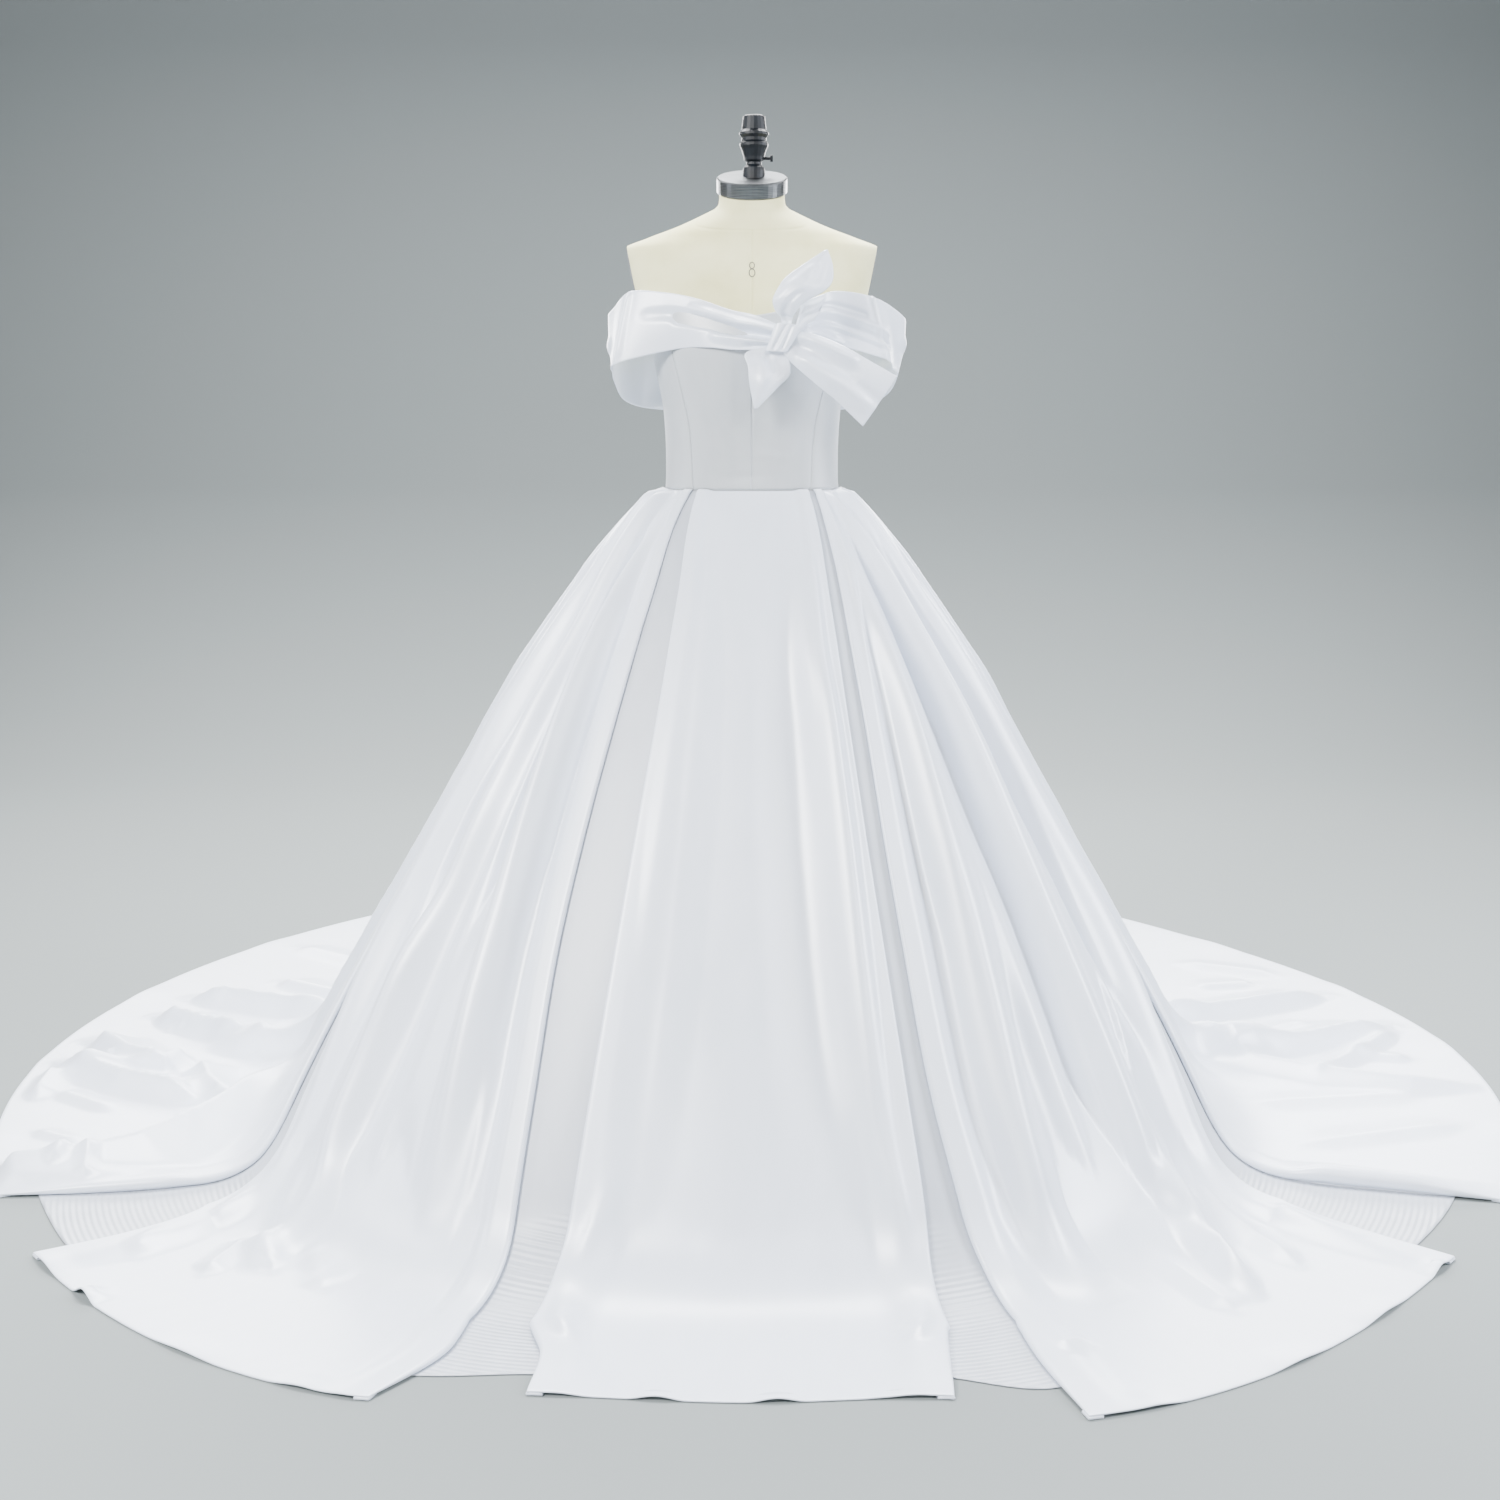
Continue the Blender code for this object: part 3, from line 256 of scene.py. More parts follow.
PANEL_EDGES = [
    # slope, front left, front right, side left, side right, back of side left and right, train left and right
    (0.00, -44.0, 45.5, -49.0, 50.5, -80.0, 80.0, -86.0, 86.0),
    (0.05, -37.0, 38.5, -45.0, 43.0, -80.0, 80.0, -86.0, 86.0),
    (0.12, -30.5, 32.0, -40.0, 37.0, -80.0, 80.0, -85.5, 85.5),
    (0.20, -27.0, 28.0, -37.2, 32.5, -79.0, 79.5, -84.5, 85.0),
    (0.30, -24.5, 24.8, -34.8, 29.0, -78.0, 79.0, -83.0, 84.5),
    (0.45, -22.5, 22.0, -32.3, 25.4, -76.0, 78.0, -81.0, 83.5),
    (0.60, -21.2, 20.4, -30.0, 23.4, -73.0, 75.0, -78.0, 81.0),
    (0.75, -20.2, 19.3, -27.3, 22.2, -69.0, 70.0, -74.0, 76.0),
    (0.90, -19.4, 18.4, -25.2, 22.4, -64.0, 64.0, -69.0, 70.0),
    (1.00, -19.0, 17.2, -24.0, 22.4, -60.0, 60.0, -64.0, 65.0),
    (1.15, -17.7, 15.6, -22.8, 21.2, -56.5, 57.0, -63.0, 63.5),
    (1.50, -15.2, 14.0, -21.6, 19.8, -54.6, 54.6, -63.4, 63.5),
    (2.00, -14.0, 12.4, -22.6, 19.0, -54.4, 53.2, -65.0, 64.0),
]
UNDERLAY_HEM_SLOPE = [
    # angle, slope at which the underlay's own hem lies
    (-64, 1.82), (-54, 1.84), (-22, 1.62), (-14, 1.84), (12, 1.80), (20, 1.60), (54, 1.80), (64, 1.80),
]

# Folds of the hanging cloth, each a line of slope and angle, then its height (a trough is
# below 0), its half widths to the left and right, and the slopes where it starts and ends
FOLDS_FRONT = [
    ([(0.0, 36), (0.05, 30), (0.2, 20.7), (0.32, 19.3), (0.54, 16.3), (0.69, 15), (0.8, 14.6), (0.9, 15.8)],
     0.014, 0.062, 0.036, 0.02, 1.00),
    ([(0.2, 24), (0.4, 20.4), (0.6, 18.2), (0.8, 17.0), (0.95, 17.4)], -0.002, 0.026, 0.024, 0.25, 1.0),
    ([(0.0, -30), (0.2, -17), (0.5, -14), (0.8, -13), (0.95, -15)], 0.005, 0.050, 0.055, 0.05, 1.02),
    ([(0.1, 9), (0.5, 8), (0.9, 7.5)], -0.005, 0.070, 0.060, 0.15, 0.95),
    ([(0.86, -15.0), (0.93, -17), (1.02, -19.2)], 0.010, 0.018, 0.020, 0.84, 1.06),
    ([(0.84, 15.2), (0.92, 16.6), (1.0, 17.4)], 0.010, 0.022, 0.018, 0.82, 1.05),
]
FOLDS_SIDE_LEFT = [
    ([(0.1, -50), (0.18, -47.5), (0.29, -43.7), (0.37, -40.9), (0.5, -37.3), (0.6, -34.6), (0.75, -30.9), (0.87, -28.8),
      (1.0, -28.5)], -0.017, 0.045, 0.020, 0.06, 1.05),
    ([(0.03, -57), (0.18, -52), (0.3, -48.0), (0.5, -43.0), (0.7, -39), (0.9, -36)], 0.020, 0.040, 0.050, 0.0, 1.0),
    ([(0.0, -62), (0.05, -59.7), (0.17, -56), (0.22, -54.8), (0.3, -52.6), (0.39, -50.4), (0.48, -48.9), (0.7, -46)],
     -0.014, 0.018, 0.028, 0.0, 0.72),
    ([(0.0, -62), (0.05, -59.7), (0.17, -56), (0.22, -54.8), (0.3, -52.6), (0.39, -50.4), (0.48, -48.9), (0.7, -46)],
     -0.010, 0.008, 0.010, 0.0, 0.66),
    ([(0.0, -75), (0.1, -68.5), (0.3, -66), (0.5, -64), (0.7, -60)], -0.010, 0.008, 0.010, 0.0, 0.75),
    ([(0.02, -66), (0.15, -62), (0.3, -59), (0.5, -56), (0.8, -52)], 0.018, 0.045, 0.040, 0.0, 0.95),
    ([(0.0, -75), (0.1, -68.5), (0.3, -66), (0.5, -64), (0.7, -60)], -0.014, 0.018, 0.030, 0.0, 0.80),
    ([(0.0, -78), (0.3, -73), (0.6, -68), (0.9, -60)], 0.016, 0.040, 0.045, 0.0, 1.05),
    ([(0.45, -53.9), (0.6, -52.6), (0.72, -50.2), (0.83, -48.1)], -0.010, 0.060, 0.060, 0.45, 1.05),
    ([(0.83, -43.7), (0.92, -41.2), (1.04, -36.5), (1.2, -35)], -0.012, 0.030, 0.045, 0.80, 1.25),
    ([(0.6, -57), (0.8, -54), (1.0, -48), (1.2, -45)], 0.014, 0.055, 0.050, 0.55, 1.30),
    ([(0.96, -28.6), (1.1, -26), (1.3, -22.2)], -0.012, 0.022, 0.014, 0.92, 1.34),
]
FOLDS_SIDE_RIGHT = [
    ([(0.08, 46), (0.21, 38.6), (0.34, 33.8), (0.51, 29.4), (0.67, 26.6), (0.81, 25.6), (0.95, 26.5)],
     -0.018, 0.020, 0.050, 0.08, 1.05),
    ([(0.05, 49), (0.1, 45.5), (0.24, 40.5), (0.41, 37), (0.55, 35.5), (0.69, 33.3), (0.82, 31.5), (1.0, 31)],
     0.023, 0.055, 0.060, 0.0, 1.15),
    ([(0.0, 60), (0.04, 56.6), (0.11, 55.2), (0.16, 55), (0.29, 53.8), (0.44, 50.4), (0.56, 49), (0.67, 47.2),
      (0.78, 45.5), (0.87, 44.9), (1.0, 43)], -0.016, 0.060, 0.018, 0.0, 1.12),
    ([(0.0, 60), (0.04, 56.6), (0.11, 55.2), (0.16, 55), (0.29, 53.8), (0.44, 50.4), (0.56, 49), (0.67, 47.2),
      (0.78, 45.5), (0.87, 44.9), (1.0, 43)], -0.010, 0.010, 0.007, 0.0, 1.05),
    ([(0.0, 72.9), (0.1, 70), (0.3, 68), (0.5, 65), (0.7, 61)], -0.010, 0.010, 0.008, 0.0, 0.80),
    ([(0.02, 62), (0.3, 58), (0.5, 54), (0.7, 51), (0.9, 48.5)], 0.016, 0.034, 0.060, 0.0, 1.15),
    ([(0.0, 72.9), (0.1, 70), (0.3, 68), (0.5, 65), (0.7, 61)], -0.014, 0.030, 0.018, 0.0, 0.85),
    ([(0.0, 77), (0.3, 73), (0.6, 69), (0.9, 60)], 0.016, 0.045, 0.040, 0.0, 1.05),
    ([(0.66, 60.5), (0.76, 56.4), (0.85, 52.4), (0.94, 49.6)], 0.006, 0.012, 0.014, 0.62, 1.02),
    ([(0.9, 52), (1.0, 48), (1.11, 43.9), (1.46, 39.8)], 0.014, 0.045, 0.035, 0.85, 1.55),
    ([(0.7, 38.5), (0.9, 37.5), (1.05, 36.5)], -0.008, 0.045, 0.045, 0.62, 1.2),
]
FOLDS_TRAIN = [
    ([(0.0, 90), (0.4, 91), (1.0, 92)], 0.016, 0.040, 0.050, 0.0, 1.10),
    ([(0.0, 96), (0.4, 97.5), (1.0, 98)], -0.012, 0.030, 0.040, 0.0, 1.00),
    ([(0.0, 100), (0.5, 104), (1.2, 101)], 0.030, 0.060, 0.080, 0.0, 1.45),
    ([(0.0, 107), (0.4, 110.5), (0.9, 110)], -0.014, 0.020, 0.045, 0.0, 0.95),
    ([(0.0, 113), (0.5, 117), (1.2, 112)], 0.032, 0.070, 0.060, 0.0, 1.30),
    ([(0.02, 121), (0.4, 124), (0.95, 124)], -0.012, 0.022, 0.040, 0.0, 1.00),
    ([(0.0, 127), (0.5, 132), (1.2, 131)], 0.030, 0.065, 0.085, 0.0, 1.55),
    ([(0.0, 136), (0.5, 140), (1.0, 141)], -0.013, 0.020, 0.050, 0.0, 0.90),
    ([(0.0, 142), (0.5, 146), (1.2, 148)], 0.034, 0.080, 0.070, 0.0, 1.35),
    ([(0.0, 151), (0.4, 154), (0.9, 155)], -0.012, 0.022, 0.040, 0.0, 0.98),
    ([(0.0, 158), (0.5, 162), (1.2, 163)], 0.032, 0.065, 0.090, 0.0, 1.60),
    ([(0.0, 168), (0.6, 171), (1.1, 172)], 0.020, 0.050, 0.040, 0.0, 1.20),
]

# Wrinkles of the cloth that lies on the floor: points of x and y, height, half width towards
# the front and towards the back
WRINKLES_LEFT = [
    ([(-0.770, 0.115), (-0.850, -0.030), (-0.950, -0.205), (-1.020, -0.255), (-1.120, -0.285), (-1.220, -0.300)],
     0.042, 0.105, 0.070),
    ([(-1.131, 0.447), (-1.030, 0.372), (-0.929, 0.305)], 0.038, 0.040, 0.085),
    ([(-1.203, 0.305), (-1.110, 0.205), (-1.014, 0.139)], 0.040, 0.040, 0.095),
    ([(-1.193, 0.174), (-1.100, 0.150), (-1.023, 0.139)], 0.018, 0.026, 0.045),
    ([(-1.100, 0.555), (-1.023, 0.538), (-0.806, 0.447)], 0.038, 0.044, 0.090),
    ([(-1.221, 0.189), (-1.080, 0.090), (-0.926, 0.021)], 0.036, 0.044, 0.080),
    ([(-1.015, 0.225), (-1.023, 0.139)], 0.018, 0.028, 0.034),
    ([(-1.222, 0.159), (-1.207, 0.030)], 0.020, 0.030, 0.045),
    ([(-0.977, 0.189), (-0.930, 0.090), (-0.872, 0.008)], 0.026, 0.040, 0.065),
    ([(-1.015, -0.240), (-0.992, -0.333)], 0.012, 0.020, 0.024),
    ([(-1.053, -0.297), (-1.044, -0.225)], 0.013, 0.018, 0.024),
    ([(-0.958, 0.667), (-0.805, 0.569)], 0.018, 0.040, 0.070),
    ([(-0.979, 0.916), (-0.815, 0.805)], 0.010, 0.045, 0.060),
    ([(-0.928, 0.332), (-0.880, 0.270)], 0.010, 0.024, 0.030),
    ([(-1.180, 0.060), (-1.060, -0.020)], 0.010, 0.026, 0.040),
    ([(-1.150, -0.110), (-1.070, -0.150)], 0.007, 0.024, 0.030),
]
WRINKLES_RIGHT = [
    ([(0.775, 0.420), (0.950, 0.490), (1.130, 0.570)], 0.030, 0.042, 0.100),
    ([(0.840, 0.215), (1.010, 0.290), (1.191, 0.389)], 0.032, 0.040, 0.100),
    ([(0.985, 0.140), (1.100, 0.250), (1.198, 0.366)], 0.018, 0.030, 0.050),
    ([(0.775, 0.280), (0.860, 0.220), (0.990, 0.140), (1.130, 0.090), (1.230, 0.080)], 0.022, 0.050, 0.060),
    ([(0.833, 0.008), (1.134, 0.053)], 0.008, 0.050, 0.060),
    ([(0.865, -0.163), (1.149, -0.080)], 0.007, 0.045, 0.060),
    ([(0.904, 0.805), (1.080, 0.720)], 0.009, 0.045, 0.060),
    ([(0.900, 0.330), (1.060, 0.420)], 0.012, 0.030, 0.055),
    ([(1.060, 0.250), (1.180, 0.220)], 0.010, 0.026, 0.040),
    ([(0.900, 0.640), (1.020, 0.660)], 0.010, 0.032, 0.060),
]
WRINKLES_HEM = [
    ([(-0.662, -0.485), (-0.652, -0.351)], 0.012, 0.034, 0.036), ([(-0.643, -0.590), (-0.681, -0.500)], 0.011, 0.034, 0.036),
    ([(-0.735, -0.600), (-0.700, -0.500)], 0.010, 0.030, 0.036), ([(-0.844, -0.547), (-0.835, -0.469)], 0.007, 0.030, 0.032),
    ([(-0.760, -0.450), (-0.735, -0.370)], 0.008, 0.026, 0.030),
    ([(-0.560, -0.640), (-0.600, -0.540)], 0.008, 0.040, 0.050), ([(-0.780, -0.330), (-0.900, -0.395)], 0.010, 0.034, 0.050),
    ([(0.633, -0.310), (0.634, -0.450), (0.636, -0.556), (0.656, -0.659)], 0.013, 0.040, 0.044),
    ([(0.375, -0.816), (0.414, -0.770)], 0.007, 0.036, 0.040), ([(0.652, -0.386), (0.740, -0.577)], 0.011, 0.034, 0.040),
    ([(0.560, -0.560), (0.620, -0.700)], 0.007, 0.040, 0.044), ([(0.740, -0.420), (0.880, -0.500)], 0.011, 0.034, 0.050),
    ([(0.700, -0.300), (0.800, -0.330), (0.960, -0.400)], 0.011, 0.036, 0.055),
    ([(0.790, -0.430), (0.900, -0.470)], 0.007, 0.026, 0.034),
    ([(-0.276, -0.662), (-0.225, -0.790)], 0.013, 0.034, 0.040), ([(0.240, -0.690), (0.200, -0.800)], 0.010, 0.034, 0.040),
]

# Places where the hem stands a little off the floor: angle, height, half width, depth inwards
HEM_WAVES = [
    (-6.0, 0.005, 0.040, 0.07), (1.5, 0.005, 0.040, 0.06), (9.0, 0.002, 0.050, 0.05),
    (-27.0, 0.004, 0.050, 0.08), (-36.0, 0.003, 0.070, 0.08), (-46.5, 0.013, 0.032, 0.07),
    (-52.0, 0.004, 0.050, 0.06), (23.0, 0.004, 0.050, 0.08), (34.0, 0.003, 0.060, 0.08),
    (43.0, 0.004, 0.060, 0.08), (51.0, 0.006, 0.030, 0.05),
    (-75.0, 0.002, 0.060, 0.06), (-92.0, 0.002, 0.060, 0.08), (78.0, 0.002, 0.060, 0.06),
    (96.0, 0.002, 0.070, 0.08), (112.0, 0.002, 0.060, 0.09), (-110.0, 0.002, 0.070, 0.09),
    (128.0, 0.002, 0.080, 0.08), (-127.0, 0.002, 0.070, 0.10), (143.0, 0.005, 0.070, 0.10),
    (-145.0, 0.005, 0.080, 0.08), (160.0, 0.006, 0.070, 0.08), (-162.0, 0.007, 0.070, 0.09),
]

# Shelves of the pleats below the waist: angle, height, half width, slope where they end
TUCKS_LEFT = [(-66.0, 0.020, 0.030, 0.22), (-77.0, 0.016, 0.020, 0.14)]
TUCKS_RIGHT = [(60.0, 0.008, 0.022, 0.20), (74.0, 0.012, 0.022, 0.16)]
TUCKS_TRAIN = [
    (88.0, 0.010, 0.018, 0.20), (103.0, 0.018, 0.026, 0.22), (116.0, 0.020, 0.024, 0.22),
    (130.0, 0.020, 0.026, 0.24), (145.0, 0.022, 0.026, 0.22), (160.0, 0.022, 0.026, 0.24),
]

FORM_SECTIONS = [
    # height, half width, front depth, back depth
    (0.740, 0.150, 0.095, 0.112), (0.800, 0.168, 0.108, 0.130), (0.860, 0.166, 0.107, 0.126),
    (0.930, 0.1490, 0.0990, 0.1080), (0.985, 0.1380, 0.0950, 0.0960), (1.0225, 0.1325, 0.0936, 0.0912),
    (1.070, 0.1312, 0.0955, 0.0900), (1.110, 0.1322, 0.1000, 0.0922), (1.150, 0.1355, 0.1070, 0.0970),
    (1.200, 0.1450, 0.1160, 0.1020), (1.240, 0.1530, 0.1200, 0.1045), (1.280, 0.1640, 0.1120, 0.1050),
    (1.320, 0.1800, 0.0980, 0.1020), (1.360, 0.1920, 0.0820, 0.0930), (1.385, 0.1960, 0.0690, 0.0790),
    (1.400, 0.1600, 0.0630, 0.0710), (1.415, 0.1200, 0.0590, 0.0650), (1.430, 0.0860, 0.0555, 0.0600),
    (1.445, 0.0550, 0.0520, 0.0550), (1.457, 0.0500, 0.0500, 0.0505), (1.4675, 0.0500, 0.0500, 0.0500),
]
NECK_SLANT_START = 1.400
NECK_TOP = 1.4675
NECK_SEAM = 1.4070
NECK_SEAM_RISE = 0.035
ARM_PLATE_HIGH = (0.1900, 1.385)
ARM_PLATE_LOW = (0.1740, 1.300)
ARM_DISC_CENTRE = 1.347
ARM_DISC_HALF_HEIGHT = 0.034
ARM_DISC_HALF_DEPTH = 0.024
ARM_DISC_THICKNESS = 0.0015
BODICE_TOP = [
    # angle, height of the top edge
    (0, 1.2790), (10, 1.2850), (22, 1.2930), (36, 1.2990), (52, 1.2930), (70, 1.2750), (90, 1.2550),
    (120, 1.2450), (180, 1.2400),
]
BODICE_SEAMS = [
    # height, half width of the seam between front and side front
    (1.0225, 0.0900), (1.110, 0.0950), (1.170, 0.1070), (1.220, 0.1190), (1.300, 0.1300),
]


def curve(rows, at, column=1):
    """Reading of a table along a smooth curve through its rows, for one value or an array."""
    keys = np.array([row[0] for row in rows], float)
    values = np.array([row[column] for row in rows], float)
    at = np.clip(np.asarray(at, float), keys[0], keys[-1])
    low = np.clip(np.searchsorted(keys, at, side="right") - 1, 0, len(keys) - 2)
    high = low + 1
    before = np.maximum(low - 1, 0)
    after = np.minimum(high + 1, len(keys) - 1)
    span = keys[high] - keys[low]
    share = (at - keys[low]) / span
    square = share * share
    cube = square * share
    slope_low = (values[high] - values[before]) / (keys[high] - keys[before])
    slope_high = (values[after] - values[low]) / (keys[after] - keys[low])
    result = (2 * cube - 3 * square + 1) * values[low]
    result = result + (cube - 2 * square + share) * span * slope_low
    result = result + (3 * square - 2 * cube) * values[high]
    return result + (cube - square) * span * slope_high


def soft_step(share):
    share = np.clip(share, 0.0, 1.0)
    return share * share * (3.0 - 2.0 * share)


def soft_bump(share):
    """1 on a fold's line, 0 at its half width and beyond."""
    return 0.5 + 0.5 * np.cos(np.pi * np.clip(np.abs(share), 0.0, 1.0))


# Meshes


def cloth_piece(name, points, finish, flip=False, shell=SHELL, underside_rows=0):
    """Thin shell of cloth. The points are its outer face, rows from top to bottom."""
    rows, columns = points.shape[:2]
    index = np.arange(rows * columns).reshape(rows, columns)
    corners = [index[:-1, :-1], index[1:, :-1], index[1:, 1:], index[:-1, 1:]]
    if flip:
        corners.reverse()
    faces = np.stack(corners, -1).reshape(-1, 4)
    mesh = bpy.data.meshes.new(name)
    mesh.from_pydata(points.reshape(-1, 3).tolist(), [], faces.tolist())
    down = np.zeros((rows, columns))
    down[1:] = np.cumsum(np.linalg.norm(np.diff(points, axis=0), axis=-1), axis=0)
    across = np.zeros((rows, columns))
    across[:, 1:] = np.cumsum(np.linalg.norm(np.diff(points, axis=1), axis=-1), axis=1)
    across -= across[:, columns // 2:columns // 2 + 1]
    from_hem = down[-1:] - down
    grain = np.stack([across, down, from_hem], -1).astype(np.float32)
    attribute = mesh.attributes.new("grain", "FLOAT_VECTOR", "POINT")
    attribute.data.foreach_set("vector", grain.reshape(-1))
    mesh.shade_smooth()
    mesh.materials.append(finish)
    piece = bpy.data.objects.new(name, mesh)
    bpy.context.scene.collection.objects.link(piece)
    if shell:
        wall = piece.modifiers.new("cloth shell", "SOLIDIFY")
        wall.thickness = shell
        wall.offset = -1.0
        wall.use_quality_normals = True
    return piece


# Skirt


def waist_radius(sine, cosine):
    """How far the bodice's outer face is from the axis at the waist seam."""
    half_width = float(curve(FORM_SECTIONS, BODICE_FOOT, 1)) + WAIST_OUTSET
    front = float(curve(FORM_SECTIONS, BODICE_FOOT, 2)) + WAIST_OUTSET
    back = float(curve(FORM_SECTIONS, BODICE_FOOT, 3)) + WAIST_OUTSET
    half_depth = np.where(cosine > 0, front, back)
    across = (np.abs(sine) / half_width) ** FORM_SQUARENESS
    along = (np.abs(cosine) / half_depth) ** FORM_SQUARENESS
    return (across + along) ** (-1.0 / FORM_SQUARENESS)


def unit(vectors):
    return vectors / np.linalg.norm(vectors, axis=-1, keepdims=True)


def skirt_point(angle, slope, lift):
    """Points of a layer that stands a lift above the lowest one. Slope is 0 at the waist seam,
    1 where the skirt meets the floor and 2 at the hem.
    """
    angle, slope, lift = np.broadcast_arrays(np.asarray(angle, float), slope, lift)
    turn = np.radians(angle)
    sine = np.sin(turn)
    cosine = np.cos(turn)
    flat = np.zeros_like(sine)
    waist = waist_radius(sine, cosine)
    contact = curve(REACH, angle, 1)
    hem = curve(REACH, angle, 2)
    top = np.stack([waist * sine, -waist * cosine, flat + WAIST_HEIGHT], -1)
    corner = np.stack([contact * sine, CONTACT_CENTRE_Y - contact * cosine, flat + CLOTH_LIE], -1)
    foot = np.stack([hem * sine, HEM_CENTRE_Y - hem * cosine, flat + CLOTH_LIE], -1)
    up = corner + unit(top - corner) * FLOOR_BEND
    out = corner + unit(foot - corner) * FLOOR_BEND
    outward = np.stack([sine, -cosine, flat], -1)
    share = np.clip(slope / 0.9, 0.0, 1.0)
    spring = curve(SPRING, angle) * (1.0 - np.exp(-share / SPRING_LENGTH)) * (1.0 - share)
    hanging = top + (up - top) * share[..., None] + outward * spring[..., None]
    share = np.clip((slope - 0.9) / 0.2, 0.0, 1.0)[..., None]
    first = up + (corner - up) * share
    second = corner + (out - corner) * share
    bending = first + (second - first) * share
    share = np.clip((slope - 1.1) / 0.9, 0.0, 1.0)[..., None]
    lying = out + (foot - out) * share
    level = slope[..., None]
    point = np.where(level <= 0.9, hanging, np.where(level <= 1.1, bending, lying))
    tilt = np.radians(np.interp(slope, [row[0] for row in STACK_TILT], [row[1] for row in STACK_TILT]))
    stack = np.stack([sine * np.cos(tilt), -cosine * np.cos(tilt), np.sin(tilt)], -1)
    return point + stack * lift[..., None]


def skirt_radius(angle, slope):
    point = skirt_point(angle, slope, 0.0)
    centre_y = HEM_CENTRE_Y if slope > 1.1 else CONTACT_CENTRE_Y * slope / 1.1
    return float(math.hypot(point[0], point[1] - centre_y))


def hanging_folds(folds, angle, slope, radius):
    """How far the folds of a panel stand out along one section."""
    total = np.zeros_like(angle)
    for line, height, left, right, start, end in folds:
        middle = float(curve(line, slope))
        distance = np.radians(angle - middle) * radius
        narrow = 0.30 + 0.70 * min(slope / 0.45, 1.0)
        half = np.where(distance < 0, left, right) * narrow
        strength = soft_step((slope - start) / 0.16 + 0.15) * soft_step((end - slope) / 0.35)
        growth = 0.22 + 0.78 * soft_step(slope / 0.35)
        total += FOLD_GAIN * height * strength * growth * soft_bump(distance / half)
    return total


def lying_wrinkles(wrinkles, points):
    """How far wrinkles lift the cloth that lies on the floor. They fall off steeply to the front."""
    total = np.zeros(points.shape[:-1])
    for line, height, front, back in wrinkles:
        ends = np.array(line, float)
        lengths = np.linalg.norm(np.diff(ends, axis=0), axis=-1)
        whole = float(lengths.sum())
        best = np.zeros_like(total)
        run_so_far = 0.0
        for start, run, length in zip(ends[:-1], np.diff(ends, axis=0), lengths):
            held = np.clip(((points[..., :2] - start) @ run) / length ** 2, 0.0, 1.0)
            apart = points[..., :2] - (start + held[..., None] * run)
            share = (run_so_far + held * length) / whole
            taper = soft_step(np.minimum(share, 1.0 - share) / 0.3 + 0.30)
            half = np.where(apart[..., 1] < 0, front, back) * (0.45 + 0.55 * taper)
            near = 1.0 - np.clip(np.linalg.norm(apart, axis=-1) / half, 0.0, 1.0)
            best = np.maximum(best, height * taper * near ** 1.5 * (1.25 - 0.25 * near))
            run_so_far += length
        total += best
    return total


def hem_lift(angle, slope):
    """How far the hem stands off the floor, with the thickness of its turned edge."""
    if slope < 1.5:
        return np.zeros_like(angle)
    total = np.full_like(angle, HEM_RAISE * float(soft_step((slope - 1.60) / 0.40)))
    from_hem = (2.0 - slope) * 0.40
    for middle, height, half, depth in HEM_WAVES:
        distance = np.radians(angle - middle) * 1.15
        total += height * soft_bump(distance / half) * soft_bump(min(from_hem / depth, 1.0))
    return total


def blend(at_waist, at_hem, slope):
    return at_waist + (at_hem - at_waist) * min(slope / 1.2, 1.0)


def panel_slopes(hanging, lying):
    """Slopes of the sections, closer together where the cloth bends onto the floor."""
    upper = np.linspace(0.0, 1.0, hanging) ** 1.45 * 0.86
    lower = np.linspace(0.86, 2.0, lying + 1)[1:]
    return np.concatenate([upper, lower])


def folded_edge(pitch, leg, plateau, falloff):
    """Section of an edge that is turned under: distance in from the fold, and lift."""
    turn = 0.5 * (pitch - LEG_LIFT)
    section = [(leg * (1.0 - step / 3), LEG_LIFT * (1.0 + 0.5 * step / 3)) for step in range(3)]
    for step in range(9):
        swing = math.pi * step / 8
        section.append((turn * (1.0 - math.sin(swing)), 0.5 * (pitch + LEG_LIFT) - turn * math.cos(swing)))
    for step in range(1, 7):
        section.append((turn + (plateau - turn) * step / 6, pitch))
    for step in range(1, 7):
        section.append((plateau + (falloff - plateau) * step / 6, pitch))
    return section


def turned_hem(points, angle):
    """Adds the edge that is turned under along the hem."""
    turn = np.radians(angle)
    out = np.stack([np.sin(turn), -np.cos(turn), np.zeros_like(turn)], -1)
    down = np.array([0.0, 0.0, -1.0])
    rows = [points]
    for step in range(1, 5):
        swing = math.pi * step / 4
        rows.append(points + out * HEM_CURL * math.sin(swing) + down * HEM_CURL * (1.0 - math.cos(swing)))
    rows.append(points - out * HEM_TURN + down * HEM_CURL * 2)
    return rows


def drape_waves(angle, slope, radius):
    """Slight unevenness of hanging cloth: long waves that run down the fall."""
    place = np.radians(angle) * radius
    run = slope * 1.3
    waves = 0.0006 * np.sin(place * 27.0 + 2.1 * math.sin(run * 2.3) + 0.7)
    waves = waves + 0.0004 * np.sin(place * 49.0 + 1.7 * math.sin(run * 3.1 + 1.0))
    waves = waves + 0.0006 * np.sin(place * 17.0 - run * 4.0)
    return waves * float(soft_step(slope / 0.25)) * float(soft_step((1.25 - slope) / 0.3))


def waist_tucks(tucks, angle, slope):
    """Folds of the pleats that stand out like a shelf just below the waist."""
    total = np.zeros_like(angle)
    for middle, height, half, fade in tucks:
        distance = np.radians(angle - middle) * 0.16
        rise = float(soft_step(slope / 0.014)) * float(soft_step((fade - slope) / fade))
        total += height * rise * soft_bump(distance / (half * (0.6 + 0.4 * min(slope / 0.05, 1.0))))
    return total


